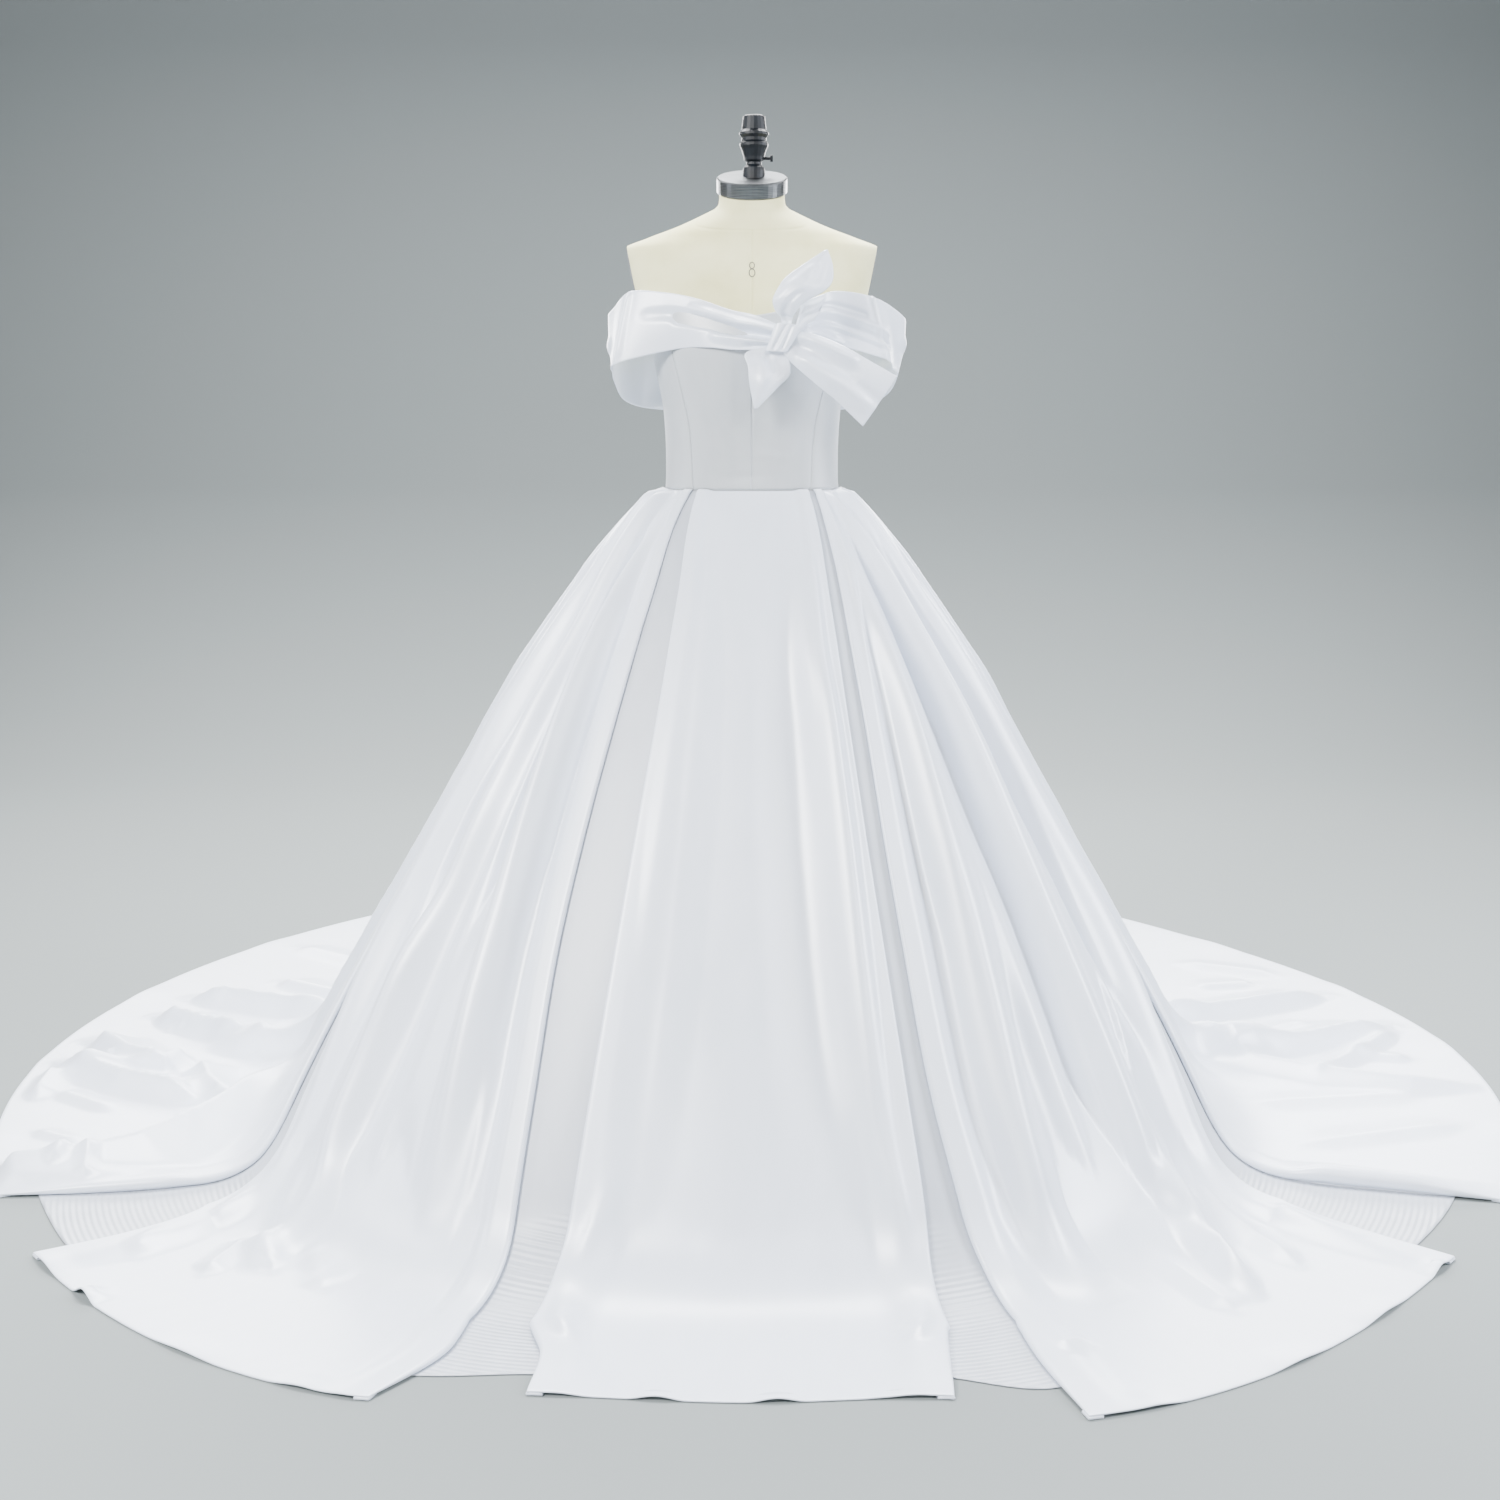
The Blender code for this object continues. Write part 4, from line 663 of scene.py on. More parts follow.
def build_panel(name, node, left_column, right_column, folds, wrinkles, columns, slopes, finish, tucks=(),
                roll=0.0):
    """Outer panel between two columns of the table of edges. A column of 0 is the centre-back seam."""
    rows = []
    for slope in slopes:
        left = float(curve(PANEL_EDGES, slope, left_column)) if left_column else -180.0
        right = float(curve(PANEL_EDGES, slope, right_column)) if right_column else 180.0
        radius = skirt_radius(0.5 * (left + right), slope)
        degree = math.degrees(1.0 / radius)
        pitch = float(curve(LAYER_PITCH, slope))
        edge_pitch = pitch + roll * float(soft_step((slope - 1.0) / 0.25)) * float(soft_step((2.06 - slope) / 0.5))
        tuck = blend(TUCK_WAIST, TUCK_HEM, slope)
        turn = 0.5 * (edge_pitch - LEG_LIFT)
        plateau = tuck + 0.004 * min(slope / 0.2, 1.0) + turn
        falloff = plateau + 0.045 * (0.2 + 0.8 * min(slope / 0.6, 1.0))
        edge = folded_edge(edge_pitch, tuck * TUCK_TO_LEG, plateau, falloff)
        angles = []
        lifts = []
        start = left + (falloff * degree if left_column else SEAM_GAP / 2 * degree)
        end = right - (falloff * degree if right_column else SEAM_GAP / 2 * degree)
        if left_column:
            angles += [left + along * degree for along, lift in edge[:-1]]
            lifts += [lift for along, lift in edge[:-1]]
        middle = np.linspace(start, end, columns)
        angles += list(middle)
        lifts += [pitch] * columns
        if right_column:
            angles += [right - along * degree for along, lift in reversed(edge[:-1])]
            lifts += [lift for along, lift in reversed(edge[:-1])]
        angles = np.array(angles)
        lifts = np.array(lifts)
        near_left = (angles - left) / degree if left_column else np.full_like(angles, falloff)
        near_right = (right - angles) / degree if right_column else np.full_like(angles, falloff)
        near = np.minimum(near_left, near_right)
        drop = soft_step((near - plateau) / (falloff - plateau))
        top_face = (near >= turn * 0.999) & (lifts > LEG_LIFT * 2.0)
        calm = soft_step((near - turn) / (plateau - turn + 0.006)) * top_face
        height = edge_pitch + (pitch - edge_pitch) * soft_step((near - turn) / (0.6 * falloff))
        lifts = np.where(top_face, height * (1.0 - drop), lifts)
        fold = hanging_folds(folds, angles, slope, radius)
        fold = fold + drape_waves(angles, slope, radius)
        clear = float(soft_step((0.92 - slope) / 0.15))
        room = TROUGH_DEPTH * clear * soft_step((near - plateau - 0.01) / 0.05)
        dipped = np.maximum(lifts + fold * drop, LEG_LIFT - room)
        lifts = np.where(fold < 0, np.minimum(lifts, dipped), lifts + fold * calm)
        lifts = lifts + waist_tucks(tucks, angles, slope) * top_face
        lifts = lifts + WAIST_ROLL * float(soft_bump((slope - 0.0045) / 0.0045))
        if slope > 0.88:
            plan = skirt_point(angles, slope, 0.0)
            share = float(soft_step((slope - 0.88) / 0.14)) * float(soft_step((2.03 - slope) / 0.12))
            lifts = lifts + lying_wrinkles(wrinkles, plan) * share * calm
        lifts = lifts + hem_lift(angles, slope)
        rows.append(skirt_point(angles, slope, lifts))
    rows = rows[:-1] + turned_hem(rows[-1], angles)
    piece = cloth_piece(name, np.array(rows), finish)
    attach(piece, GOWN)
    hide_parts(node)
    return piece


def build_underlay(name, node, left_column, right_column, columns, slopes, finish):
    """Bottom layer of an inverted pleat, which shows between two folded edges."""
    rows = []
    for slope in slopes:
        middle = 0.5 * (float(curve(PANEL_EDGES, slope, left_column)) + float(curve(PANEL_EDGES, slope, right_column)))
        tuck = blend(TUCK_WAIST, TUCK_HEM, slope)
        lowered = slope
        if slope > 1.1:
            hem = float(np.interp(middle, [row[0] for row in UNDERLAY_HEM_SLOPE], [row[1] for row in UNDERLAY_HEM_SLOPE]))
            lowered = 1.1 + (slope - 1.1) * (hem - 1.1) / 0.9
        left = float(curve(PANEL_EDGES, lowered, left_column))
        right = float(curve(PANEL_EDGES, lowered, right_column))
        degree = math.degrees(1.0 / skirt_radius(middle, lowered))
        angles = np.linspace(left - tuck * degree, right + tuck * degree, columns)
        rows.append(skirt_point(angles, lowered, 0.0))
    piece = cloth_piece(name, np.array(rows), finish)
    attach(piece, GOWN)
    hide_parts(node)
    return piece


def mirrored_folds(folds):
    turned = []
    for line, height, left, right, start, end in folds:
        turned.append(([(slope, -angle) for slope, angle in line], height, right, left, start, end))
    return turned


def train_wrinkles(side, placed):
    """The placed wrinkles, and like ones on the part of the train behind the dress."""
    chance = random.Random(11 + side)
    wrinkles = list(placed)
    for step in range(18):
        angle = math.radians(chance.uniform(128.0, 178.0))
        reach = chance.uniform(0.90, 1.20)
        heading = angle + math.radians(chance.uniform(35.0, 120.0))
        length = chance.uniform(0.10, 0.30)
        x = side * math.sin(angle) * reach
        y = HEM_CENTRE_Y - math.cos(angle) * reach
        line = [(x, y), (x + side * math.sin(heading) * length, y - math.cos(heading) * length)]
        wrinkles.append((line, chance.uniform(0.008, 0.022), chance.uniform(0.024, 0.040),
                         chance.uniform(0.040, 0.080)))
    return wrinkles


def build_skirt():
    side_rows = panel_slopes(62, 78)
    train_rows = panel_slopes(52, 96)
    front = build_panel("front_panel", "skirt_front", 1, 2, FOLDS_FRONT, WRINKLES_HEM, 90,
                        panel_slopes(62, 70), SATIN)
    side_left = build_panel("side_panel_left", "skirt_side_left", 5, 3, FOLDS_SIDE_LEFT, WRINKLES_HEM, 150,
                            side_rows, SATIN, TUCKS_LEFT)
    side_right = build_panel("side_panel_right", "skirt_side_right", 4, 6, FOLDS_SIDE_RIGHT, WRINKLES_HEM, 150,
                             side_rows, SATIN, TUCKS_RIGHT)
    train_left = build_panel("train_panel_left", "train_left", 0, 7, mirrored_folds(FOLDS_TRAIN),
                             train_wrinkles(-1, WRINKLES_LEFT), 270, train_rows, SATIN,
                             [(-angle, height, half, fade) for angle, height, half, fade in TUCKS_TRAIN], 0.006)
    train_right = build_panel("train_panel_right", "train_right", 8, 0, FOLDS_TRAIN,
                              train_wrinkles(1, WRINKLES_RIGHT), 270, train_rows, SATIN, TUCKS_TRAIN, 0.016)
    rows = panel_slopes(46, 54)
    front_left = build_underlay("front_underlay_left", "pleat_front_left", 3, 1, 34, rows, SHADED_UNDERLAY_SATIN)
    front_right = build_underlay("front_underlay_right", "pleat_front_right", 2, 4, 34, rows, SHADED_UNDERLAY_SATIN)
    back_left = build_underlay("side_underlay_left", "pleat_side_left", 7, 5, 40, rows, SHADED_UNDERLAY_SATIN)
    back_right = build_underlay("side_underlay_right", "pleat_side_right", 6, 8, 40, rows, SHADED_UNDERLAY_SATIN)
    waist = ["bodice_front_cloth_left", "bodice_front_cloth_right"]
    waist_side = ["bodice_side_cloth_left", "bodice_side_cloth_right"]
    waist_back = ["bodice_back_cloth_left", "bodice_back_cloth_right"]
    return {
        "front": (front, waist), "side_left": (side_left, waist_side), "side_right": (side_right, waist_side),
        "train_left": (train_left, waist_back), "train_right": (train_right, waist_back),
        "under_front_left": (front_left, waist_side), "under_front_right": (front_right, waist_side),
        "under_side_left": (back_left, waist_back), "under_side_right": (back_right, waist_back),
    }


# Form and bodice


def form_outline(angle, height, outset):
    """Points on the form's skin at angles from the front, moved out by the outset."""
    turn = np.radians(angle)
    half_width = curve(FORM_SECTIONS, height, 1) + outset
    front = curve(FORM_SECTIONS, height, 2) + outset
    back = curve(FORM_SECTIONS, height, 3) + outset
    half_depth = np.where(np.cos(turn) > 0, front, back)
    power = 2.0 / FORM_SQUARENESS
    x = half_width * np.sign(np.sin(turn)) * np.abs(np.sin(turn)) ** power
    y = -half_depth * np.sign(np.cos(turn)) * np.abs(np.cos(turn)) ** power
    return x, y


def arm_plate_x(height):
    """How far out the flat armhole face lies at a height."""
    share = (height - ARM_PLATE_LOW[1]) / (ARM_PLATE_HIGH[1] - ARM_PLATE_LOW[1])
    return ARM_PLATE_LOW[0] + share * (ARM_PLATE_HIGH[0] - ARM_PLATE_LOW[0])


def form_surface(angle, height, outset=0.0):
    angle, height = np.broadcast_arrays(np.asarray(angle, float), np.asarray(height, float))
    inset = 0.0008 * soft_step((height - 1.02) / 0.01) * soft_step((1.28 - height) / 0.01)
    x, y = form_outline(angle, height, outset - inset)
    limit = arm_plate_x(height) + outset
    x = np.where(height > ARM_PLATE_LOW[1] - 0.03, np.sign(x) * np.minimum(np.abs(x), limit), x)
    slant = soft_step((height - NECK_SLANT_START) / (NECK_TOP - NECK_SLANT_START))
    return np.stack([x, y, height + y * math.tan(NECK_TILT) * slant], -1)


def build_form():
    """Padded torso under its linen cover, with the seams of the cover sunk a little."""
    heights = np.concatenate([np.linspace(0.740, 1.25, 60), np.linspace(1.253, 1.38, 44)[:-1],
                              np.linspace(1.38, 1.4675, 60)])[::-1]
    even = np.linspace(-180.0, 180.0, 240, endpoint=False)
    signed = np.unique(np.round(np.concatenate([even, np.arange(-3.0, 3.0, 0.25)]), 6))
    around = len(signed)
    rows = []
    for height in heights:
        point = form_surface(signed, height)
        outward = unit(point * np.array([1.0, 1.0, 0.0]))
        centre_seam = soft_bump(point[:, 0] / 0.0022) * (point[:, 1] < 0) * (height < NECK_SEAM)
        neck_line = NECK_SEAM + NECK_SEAM_RISE * (1.0 - np.maximum(np.cos(np.radians(signed)), 0.0))
        neck_seam = soft_bump((height - neck_line) / 0.0030)
        bust = 0.052 + 0.05 * float(soft_step((1.39 - height) / 0.2))
        princess = soft_bump((np.abs(point[:, 0]) - bust) / 0.0028) * (height < 1.41)
        depth = 0.0011 * centre_seam + 0.0011 * neck_seam + 0.0004 * princess
        rows.append(point - outward * depth[:, None])
    points = np.array(rows)
    count = len(heights)
    index = np.arange(count * around).reshape(count, around)
    following = np.roll(index, -1, axis=1)
    faces = np.stack([index[:-1], index[1:], following[1:], following[:-1]], -1).reshape(-1, 4).tolist()
    faces.append(index[0].tolist())
    faces.append(index[-1][::-1].tolist())
    mesh = bpy.data.meshes.new("form_cover")
    mesh.from_pydata(points.reshape(-1, 3).tolist(), [], faces)
    mesh.shade_smooth()
    mesh.set_sharp_from_angle(angle=math.radians(50.0))
    mesh.materials.append(LINEN)
    piece = bpy.data.objects.new("form_cover", mesh)
    bpy.context.scene.collection.objects.link(piece)
    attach(piece, GOWN)
    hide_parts("form_torso")
    return piece


def build_size_number():
    """Number printed on the form's chest: a figure of two rings."""
    points = []
    faces = []
    for middle, half_width, half_height in ((1.3535, 0.0036, 0.0048), (1.3425, 0.0043, 0.0058)):
        first = len(points)
        turns = np.linspace(0.0, 2.0 * math.pi, 48, endpoint=False)
        for stroke in (-0.0007, 0.0007):
            x = (half_width + stroke) * np.sin(turns)
            z = middle + (half_height + stroke) * np.cos(turns)
            half_depth = curve(FORM_SECTIONS, z, 2)
            edge = curve(FORM_SECTIONS, z, 1)
            y = -half_depth * (1.0 - (np.abs(x) / edge) ** FORM_SQUARENESS) ** (1.0 / FORM_SQUARENESS)
            points += np.stack([x, y - 0.0004, z], -1).tolist()
        faces += [(first + step, first + (step + 1) % 48, first + 48 + (step + 1) % 48, first + 48 + step)
                  for step in range(48)]
    mesh = bpy.data.meshes.new("size_number")
    mesh.from_pydata(points, [], faces)
    mesh.materials.append(PRINT)
    piece = bpy.data.objects.new("size_number", mesh)
    bpy.context.scene.collection.objects.link(piece)
    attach(piece, GOWN)


def build_zip_pull():
    """Small drop-shaped pull at the top of the invisible zip in the centre back."""
    profile = [(0.0, 0.0004), (0.0010, 0.0010), (0.0040, 0.0011), (0.0090, 0.0016), (0.0130, 0.0021),
               (0.0155, 0.0017), (0.0168, 0.0006)]
    top = 1.236
    turns = np.linspace(0.0, 2.0 * math.pi, 20, endpoint=False)
    rings = []
    for down, half in profile:
        z = top - down
        depth = float(curve(FORM_SECTIONS, z, 3)) + WAIST_OUTSET + 0.0011
        rings.append(np.stack([half * np.cos(turns), depth + 0.0007 * np.sin(turns), np.full(20, z)], -1))
    points = np.array(rings)
    index = np.arange(len(profile) * 20).reshape(len(profile), 20)
    following = np.roll(index, -1, axis=1)
    faces = np.stack([index[:-1], index[1:], following[1:], following[:-1]], -1).reshape(-1, 4).tolist()
    faces += [index[0].tolist(), index[-1][::-1].tolist()]
    mesh = bpy.data.meshes.new("zip_pull")
    mesh.from_pydata(points.reshape(-1, 3).tolist(), [], faces)
    mesh.shade_smooth()
    mesh.materials.append(ENAMEL)
    piece = bpy.data.objects.new("zip_pull", mesh)
    bpy.context.scene.collection.objects.link(piece)
    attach(piece, GOWN)


def build_arm_disc(word, side):
    """Thin oval plate with a rounded rim that closes an armhole of the form."""
    rise = ARM_PLATE_HIGH[1] - ARM_PLATE_LOW[1]
    run = ARM_PLATE_HIGH[0] - ARM_PLATE_LOW[0]
    lean = math.atan2(run, rise)
    profile = [(1.0, 0.0), (1.0, 0.5), (0.985, 0.85), (0.95, 1.0), (0.6, 1.0), (0.3, 1.0)]
    turns = np.linspace(0.0, 2.0 * math.pi, 64, endpoint=False)
    rings = []
    for share, rise_share in profile:
        up = ARM_DISC_HALF_HEIGHT * share * np.cos(turns)
        deep = ARM_DISC_HALF_DEPTH * share * np.sin(turns)
        out = np.full_like(up, SEAM_GAP + ARM_DISC_THICKNESS * rise_share)
        x = arm_plate_x(ARM_DISC_CENTRE) + up * math.sin(lean) + out * math.cos(lean)
        z = ARM_DISC_CENTRE + up * math.cos(lean) - out * math.sin(lean)
        rings.append(np.stack([side * x, deep, z], -1))
    points = np.array(rings)
    count = len(profile)
    index = np.arange(count * 64).reshape(count, 64)
    following = np.roll(index, -1, axis=1)
    faces = np.stack([index[:-1], following[:-1], following[1:], index[1:]], -1).reshape(-1, 4).tolist()
    faces.append(index[0][::-1].tolist())
    faces.append(index[-1].tolist())
    if side < 0:
        faces = [face[::-1] for face in faces]
    mesh = bpy.data.meshes.new("arm_disc_" + word)
    mesh.from_pydata(points.reshape(-1, 3).tolist(), [], faces)
    mesh.shade_smooth()
    mesh.set_sharp_from_angle(angle=math.radians(40.0))
    mesh.materials.append(GREY)
    piece = bpy.data.objects.new("arm_disc_" + word, mesh)
    bpy.context.scene.collection.objects.link(piece)
    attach(piece, GOWN)
    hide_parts("arm_plate_" + word)


def bodice_seam_angle(share):
    """Angle of the princess seam at a share of the way down."""
    height = 1.295 + (BODICE_FOOT - 1.295) * share
    half_width = float(curve(BODICE_SEAMS, height))
    edge = float(curve(FORM_SECTIONS, height, 1)) + WAIST_OUTSET
    return math.degrees(math.asin((half_width / edge) ** (FORM_SQUARENESS / 2.0)))


def bodice_creases(points):
    """Faint drag lines that run from the bust to the waist and under the bow."""
    total = np.zeros(points.shape[:-1])
    for x0, z0, x1, z1, height, half in BODICE_DRAGS:
        start = np.array([x0, z0])
        run = np.array([x1 - x0, z1 - z0])
        place = points[..., [0, 2]]
        held = np.clip(((place - start) @ run) / float(run @ run), 0.0, 1.0)
        distance = np.linalg.norm(place - (start + held[..., None] * run), axis=-1)
        total += height * soft_bump(distance / half) * soft_bump(2.0 * held - 1.0) ** 0.5
    return total * (points[..., 1] < 0)


BODICE_DRAGS = [
    # x and height of both ends, height of the line, half width
    (0.015, 1.168, 0.095, 1.172, 0.0008, 0.008), (0.020, 1.148, 0.080, 1.150, 0.0006, 0.007),
    (-0.060, 1.040, 0.040, 1.046, -0.0007, 0.010), (-0.020, 1.080, 0.085, 1.066, 0.0006, 0.009),
    (-0.085, 1.090, -0.030, 1.082, 0.0006, 0.009), (0.000, 1.150, 0.030, 1.120, -0.0010, 0.008),
    (-0.075, 1.135, -0.045, 1.065, 0.0006, 0.010), (0.072, 1.130, 0.060, 1.060, 0.0006, 0.010),
]


def build_bodice():
    pieces = {}
    for word, side in (("left", -1), ("right", 1)):
        for part, first, last, columns in (("front", "front", "princess", 44), ("side", "princess", "side", 34),
                                           ("back", "side", "back", 56)):
            rows = []
            for share in np.linspace(0.0, 1.0, 60):
                seam = {"front": 0.0, "princess": bodice_seam_angle(share), "side": 90.0, "back": 180.0}
                gap = math.degrees(SEAM_GAP / 8 / 0.10)
                angle = np.linspace(seam[first] + gap, seam[last] - gap, columns)
                top = curve(BODICE_TOP, angle)
                height = top + (BODICE_FOOT - top) * share
                x, y = form_outline(side * angle, height, WAIST_OUTSET)
                point = np.stack([x, y, height], -1)
                outward = unit(point * np.array([1.0, 1.0, 0.0]))
                first_edge = np.radians(angle - seam[first]) * 0.13
                last_edge = np.radians(seam[last] - angle) * 0.13
                first_depth = 0.0004 if first == "front" else 0.0010
                dip = first_depth * np.exp(-first_edge / 0.0026) + 0.0010 * np.exp(-last_edge / 0.0026)
                swell = bodice_creases(point)
                point = point + outward * (swell - dip)[:, None]
                rows.append(point if side > 0 else point[::-1])
            name = "bodice_%s_cloth_%s" % (part, word)
            piece = cloth_piece(name, np.array(rows), SHADED_BODICE_SATIN)
            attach(piece, GOWN)
            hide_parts("bodice_%s_%s" % (part, word))
            pieces[name] = piece
    return pieces


# Band and bow

BAND_LEFT = [
    # upper x, z, lower x, z, facing (-1 front, 1 back, 0 free), upper depth, lower depth, swell
    (-0.0900, 1.2400, -0.0900, 1.1400, 1, 0.0025, 0.0025, 0.000),
    (-0.1180, 1.2440, -0.1200, 1.1420, 1, 0.0100, 0.0120, 0.002),
    (-0.1720, 1.2600, -0.1760, 1.1480, 0, 0.0860, 0.0820, 0.003),
    (-0.2080, 1.2720, -0.2030, 1.1600, 0, 0.0540, 0.0440, 0.003),
    (-0.2225, 1.2850, -0.2125, 1.1830, 0, 0.0160, 0.0000, 0.003),
    (-0.2110, 1.2970, -0.2135, 1.1970, 0, -0.0160, -0.0320, 0.002),
    (-0.1830, 1.3176, -0.2050, 1.2110, 0, -0.0620, -0.0740, 0.001),
    (-0.1320, 1.3150, -0.1160, 1.2310, -1, 0.0060, 0.0040, 0.003),
    (-0.0820, 1.3048, -0.0680, 1.2330, -1, 0.0040, 0.0050, 0.003),
    (-0.0320, 1.2877, -0.0260, 1.2290, -1, 0.0050, 0.0100, 0.003),
    (0.0040, 1.2790, 0.0060, 1.2290, 0, -0.1330, -0.1385, 0.002),
    (0.0400, 1.2640, 0.0360, 1.2300, 0, -0.1415, -0.1415, 0.000),
]
BAND_RIGHT = [
    # upper x, z, lower x, z, facing, upper depth, lower depth, swell
    (0.0660, 1.2600, 0.0660, 1.2400, 0, -0.1440, -0.1440, 0.000),
    (0.0860, 1.2900, 0.0840, 1.2400, 0, -0.1330, -0.1390, 0.002),
    (0.1100, 1.3130, 0.1060, 1.2380, -1, 0.0080, 0.0120, 0.003),
    (0.1400, 1.3165, 0.1330, 1.2360, -1, 0.0080, 0.0080, 0.003),
    (0.1810, 1.3100, 0.2030, 1.2170, 0, -0.0620, -0.0720, 0.001),
    (0.2130, 1.2980, 0.2160, 1.2040, 0, -0.0220, -0.0380, 0.002),
    (0.2380, 1.2790, 0.2260, 1.1960, 0, 0.0100, 0.0000, 0.003),
    (0.2210, 1.2700, 0.2140, 1.1680, 0, 0.0540, 0.0440, 0.003),
    (0.1780, 1.2600, 0.1800, 1.1500, 0, 0.0860, 0.0820, 0.003),
    (0.1190, 1.2440, 0.1210, 1.1420, 1, 0.0100, 0.0120, 0.002),
    (0.0900, 1.2400, 0.0900, 1.1400, 1, 0.0025, 0.0025, 0.000),
]
KNOT = [
    # x, y and z of the upper edge, x, y and z of the lower edge, swell
    (0.0330, -0.1477, 1.2640, 0.0200, -0.1477, 1.2270, 0.000),
    (0.0400, -0.1510, 1.2670, 0.0255, -0.1510, 1.2262, 0.001),
    (0.0540, -0.1520, 1.2655, 0.0370, -0.1520, 1.2255, 0.001),
    (0.0680, -0.1510, 1.2630, 0.0470, -0.1510, 1.2252, 0.001),
    (0.0745, -0.1477, 1.2610, 0.0520, -0.1477, 1.2270, 0.000),
]
BOW_EAR = [
    (0.0440, -0.1500, 1.2590, 0.0560, -0.1500, 1.2585, 0.000),
    (0.0420, -0.1500, 1.2730, 0.0590, -0.1500, 1.2720, 0.000),
    (0.0330, -0.1530, 1.2850, 0.0620, -0.1540, 1.2790, 0.004),
    (0.0300, -0.1560, 1.3000, 0.0760, -0.1580, 1.2950, 0.008),
    (0.0392, -0.1560, 1.3190, 0.1040, -0.1560, 1.3105, 0.010),
    (0.0508, -0.1530, 1.3331, 0.1170, -0.1500, 1.3261, 0.008),
    (0.0768, -0.1490, 1.3514, 0.1175, -0.1460, 1.3486, 0.005),
    (0.1050, -0.1450, 1.3700, 0.1100, -0.1450, 1.3710, 0.000),
]
BOW_LOOP = [
    (0.0640, -0.1461, 1.2640, 0.0640, -0.1461, 1.2560, 0.000),
    (0.0740, -0.1440, 1.2960, 0.0780, -0.1440, 1.2640, 0.003),
    (0.0920, -0.1400, 1.3040, 0.0900, -0.1420, 1.2700, 0.005),
    (0.1060, -0.1350, 1.3090, 0.1000, -0.1380, 1.2820, 0.003),
]
TAIL_RIGHT = [
    (0.0560, -0.1461, 1.2560, 0.0440, -0.1461, 1.2250, 0.000),
    (0.0800, -0.1461, 1.2530, 0.0600, -0.1461, 1.2080, 0.000),
    (0.1000, -0.1490, 1.2480, 0.0780, -0.1500, 1.1920, 0.005),
    (0.1330, -0.1500, 1.2345, 0.1010, -0.1510, 1.1730, 0.008),
    (0.1700, -0.1440, 1.2145, 0.1240, -0.1470, 1.1550, 0.008),
    (0.2142, -0.1360, 1.1908, 0.1640, -0.1420, 1.1180, 0.004),
]
TAIL_LEFT = [
    (0.0480, -0.1437, 1.2300, 0.0200, -0.1437, 1.2330, 0.000),
    (0.0560, -0.1425, 1.2100, -0.0095, -0.1450, 1.2240, 0.000),
    (0.0560, -0.1425, 1.1920, -0.0060, -0.1500, 1.2040, 0.004),
    (0.0400, -0.1470, 1.1760, -0.0040, -0.1510, 1.1800, 0.006),
    (0.0080, -0.1490, 1.1440, 0.0030, -0.1490, 1.1430, 0.000),
]

# Creases of a strip: share along and across (0 lower edge, 1 upper) at both ends, height, half
# width in metres
CREASES_BAND_LEFT = [
    (0.66, 0.52, 1.00, 0.45, -0.0100, 0.013), (0.72, 0.74, 1.00, 0.62, 0.0060, 0.014),
    (0.76, 0.24, 1.00, 0.28, 0.0055, 0.011), (0.86, 0.10, 1.00, 0.16, -0.0030, 0.006),
    (0.60, 0.62, 0.82, 0.60, -0.0035, 0.014), (0.545, 0.00, 0.545, 1.00, 0.0030, 0.007),
    (0.24, 0.60, 0.42, 0.50, 0.0025, 0.018),
]
CREASES_BAND_RIGHT = [
    (0.00, 0.60, 0.44, 0.30, -0.0032, 0.007), (0.00, 0.45, 0.40, 0.16, -0.0028, 0.006),
    (0.02, 0.75, 0.44, 0.46, 0.0026, 0.008), (0.00, 0.35, 0.30, 0.06, 0.0025, 0.007),
    (0.04, 0.85, 0.36, 0.66, -0.0022, 0.008), (0.40, 0.00, 0.40, 1.00, 0.0030, 0.007),
    (0.56, 0.55, 0.74, 0.60, 0.0025, 0.018),
]
CREASES_EAR = [
    (0.12, 0.50, 0.50, 0.46, -0.0030, 0.009), (0.35, 0.85, 0.80, 0.70, 0.0010, 0.010),
    (0.40, 0.25, 0.85, 0.40, -0.0010, 0.012), (0.42, 0.55, 0.80, 0.60, 0.0008, 0.012),
]
CREASES_LOOP = [
    (0.20, 0.35, 0.90, 0.30, -0.0025, 0.006), (0.20, 0.70, 0.90, 0.72, 0.0015, 0.006),
]
CREASES_TAIL_RIGHT = [
    (0.08, 0.55, 0.75, 0.62, -0.0045, 0.016), (0.10, 0.80, 0.70, 0.88, 0.0030, 0.012),
    (0.15, 0.25, 0.90, 0.30, 0.0032, 0.020), (0.45, 0.45, 0.98, 0.48, -0.0020, 0.014),
]
CREASES_TAIL_LEFT = [
    (0.15, 0.30, 0.90, 0.45, 0.0010, 0.012), (0.20, 0.75, 0.80, 0.62, -0.0012, 0.012),
    (0.10, 0.50, 0.45, 0.55, -0.0016, 0.010),
]
CREASES_KNOT = [
    (0.35, 0.05, 0.45, 0.95, -0.0016, 0.0040), (0.62, 0.05, 0.58, 0.95, -0.0014, 0.0035),
    (0.50, 0.05, 0.52, 0.95, 0.0008, 0.0030),
]


def bodice_depth(x, height, facing, standoff):
    """How far in front of the axis (-) or behind it (+) a point lies over the bodice's outer face."""
    outset = WAIST_OUTSET + standoff
    half_width = float(curve(FORM_SECTIONS, height, 1)) + outset
    half_depth = float(curve(FORM_SECTIONS, height, 2 if facing < 0 else 3)) + outset
    share = 1.0 - (abs(x) / half_width) ** FORM_SQUARENESS
    return facing * half_depth * share ** (1.0 / FORM_SQUARENESS)


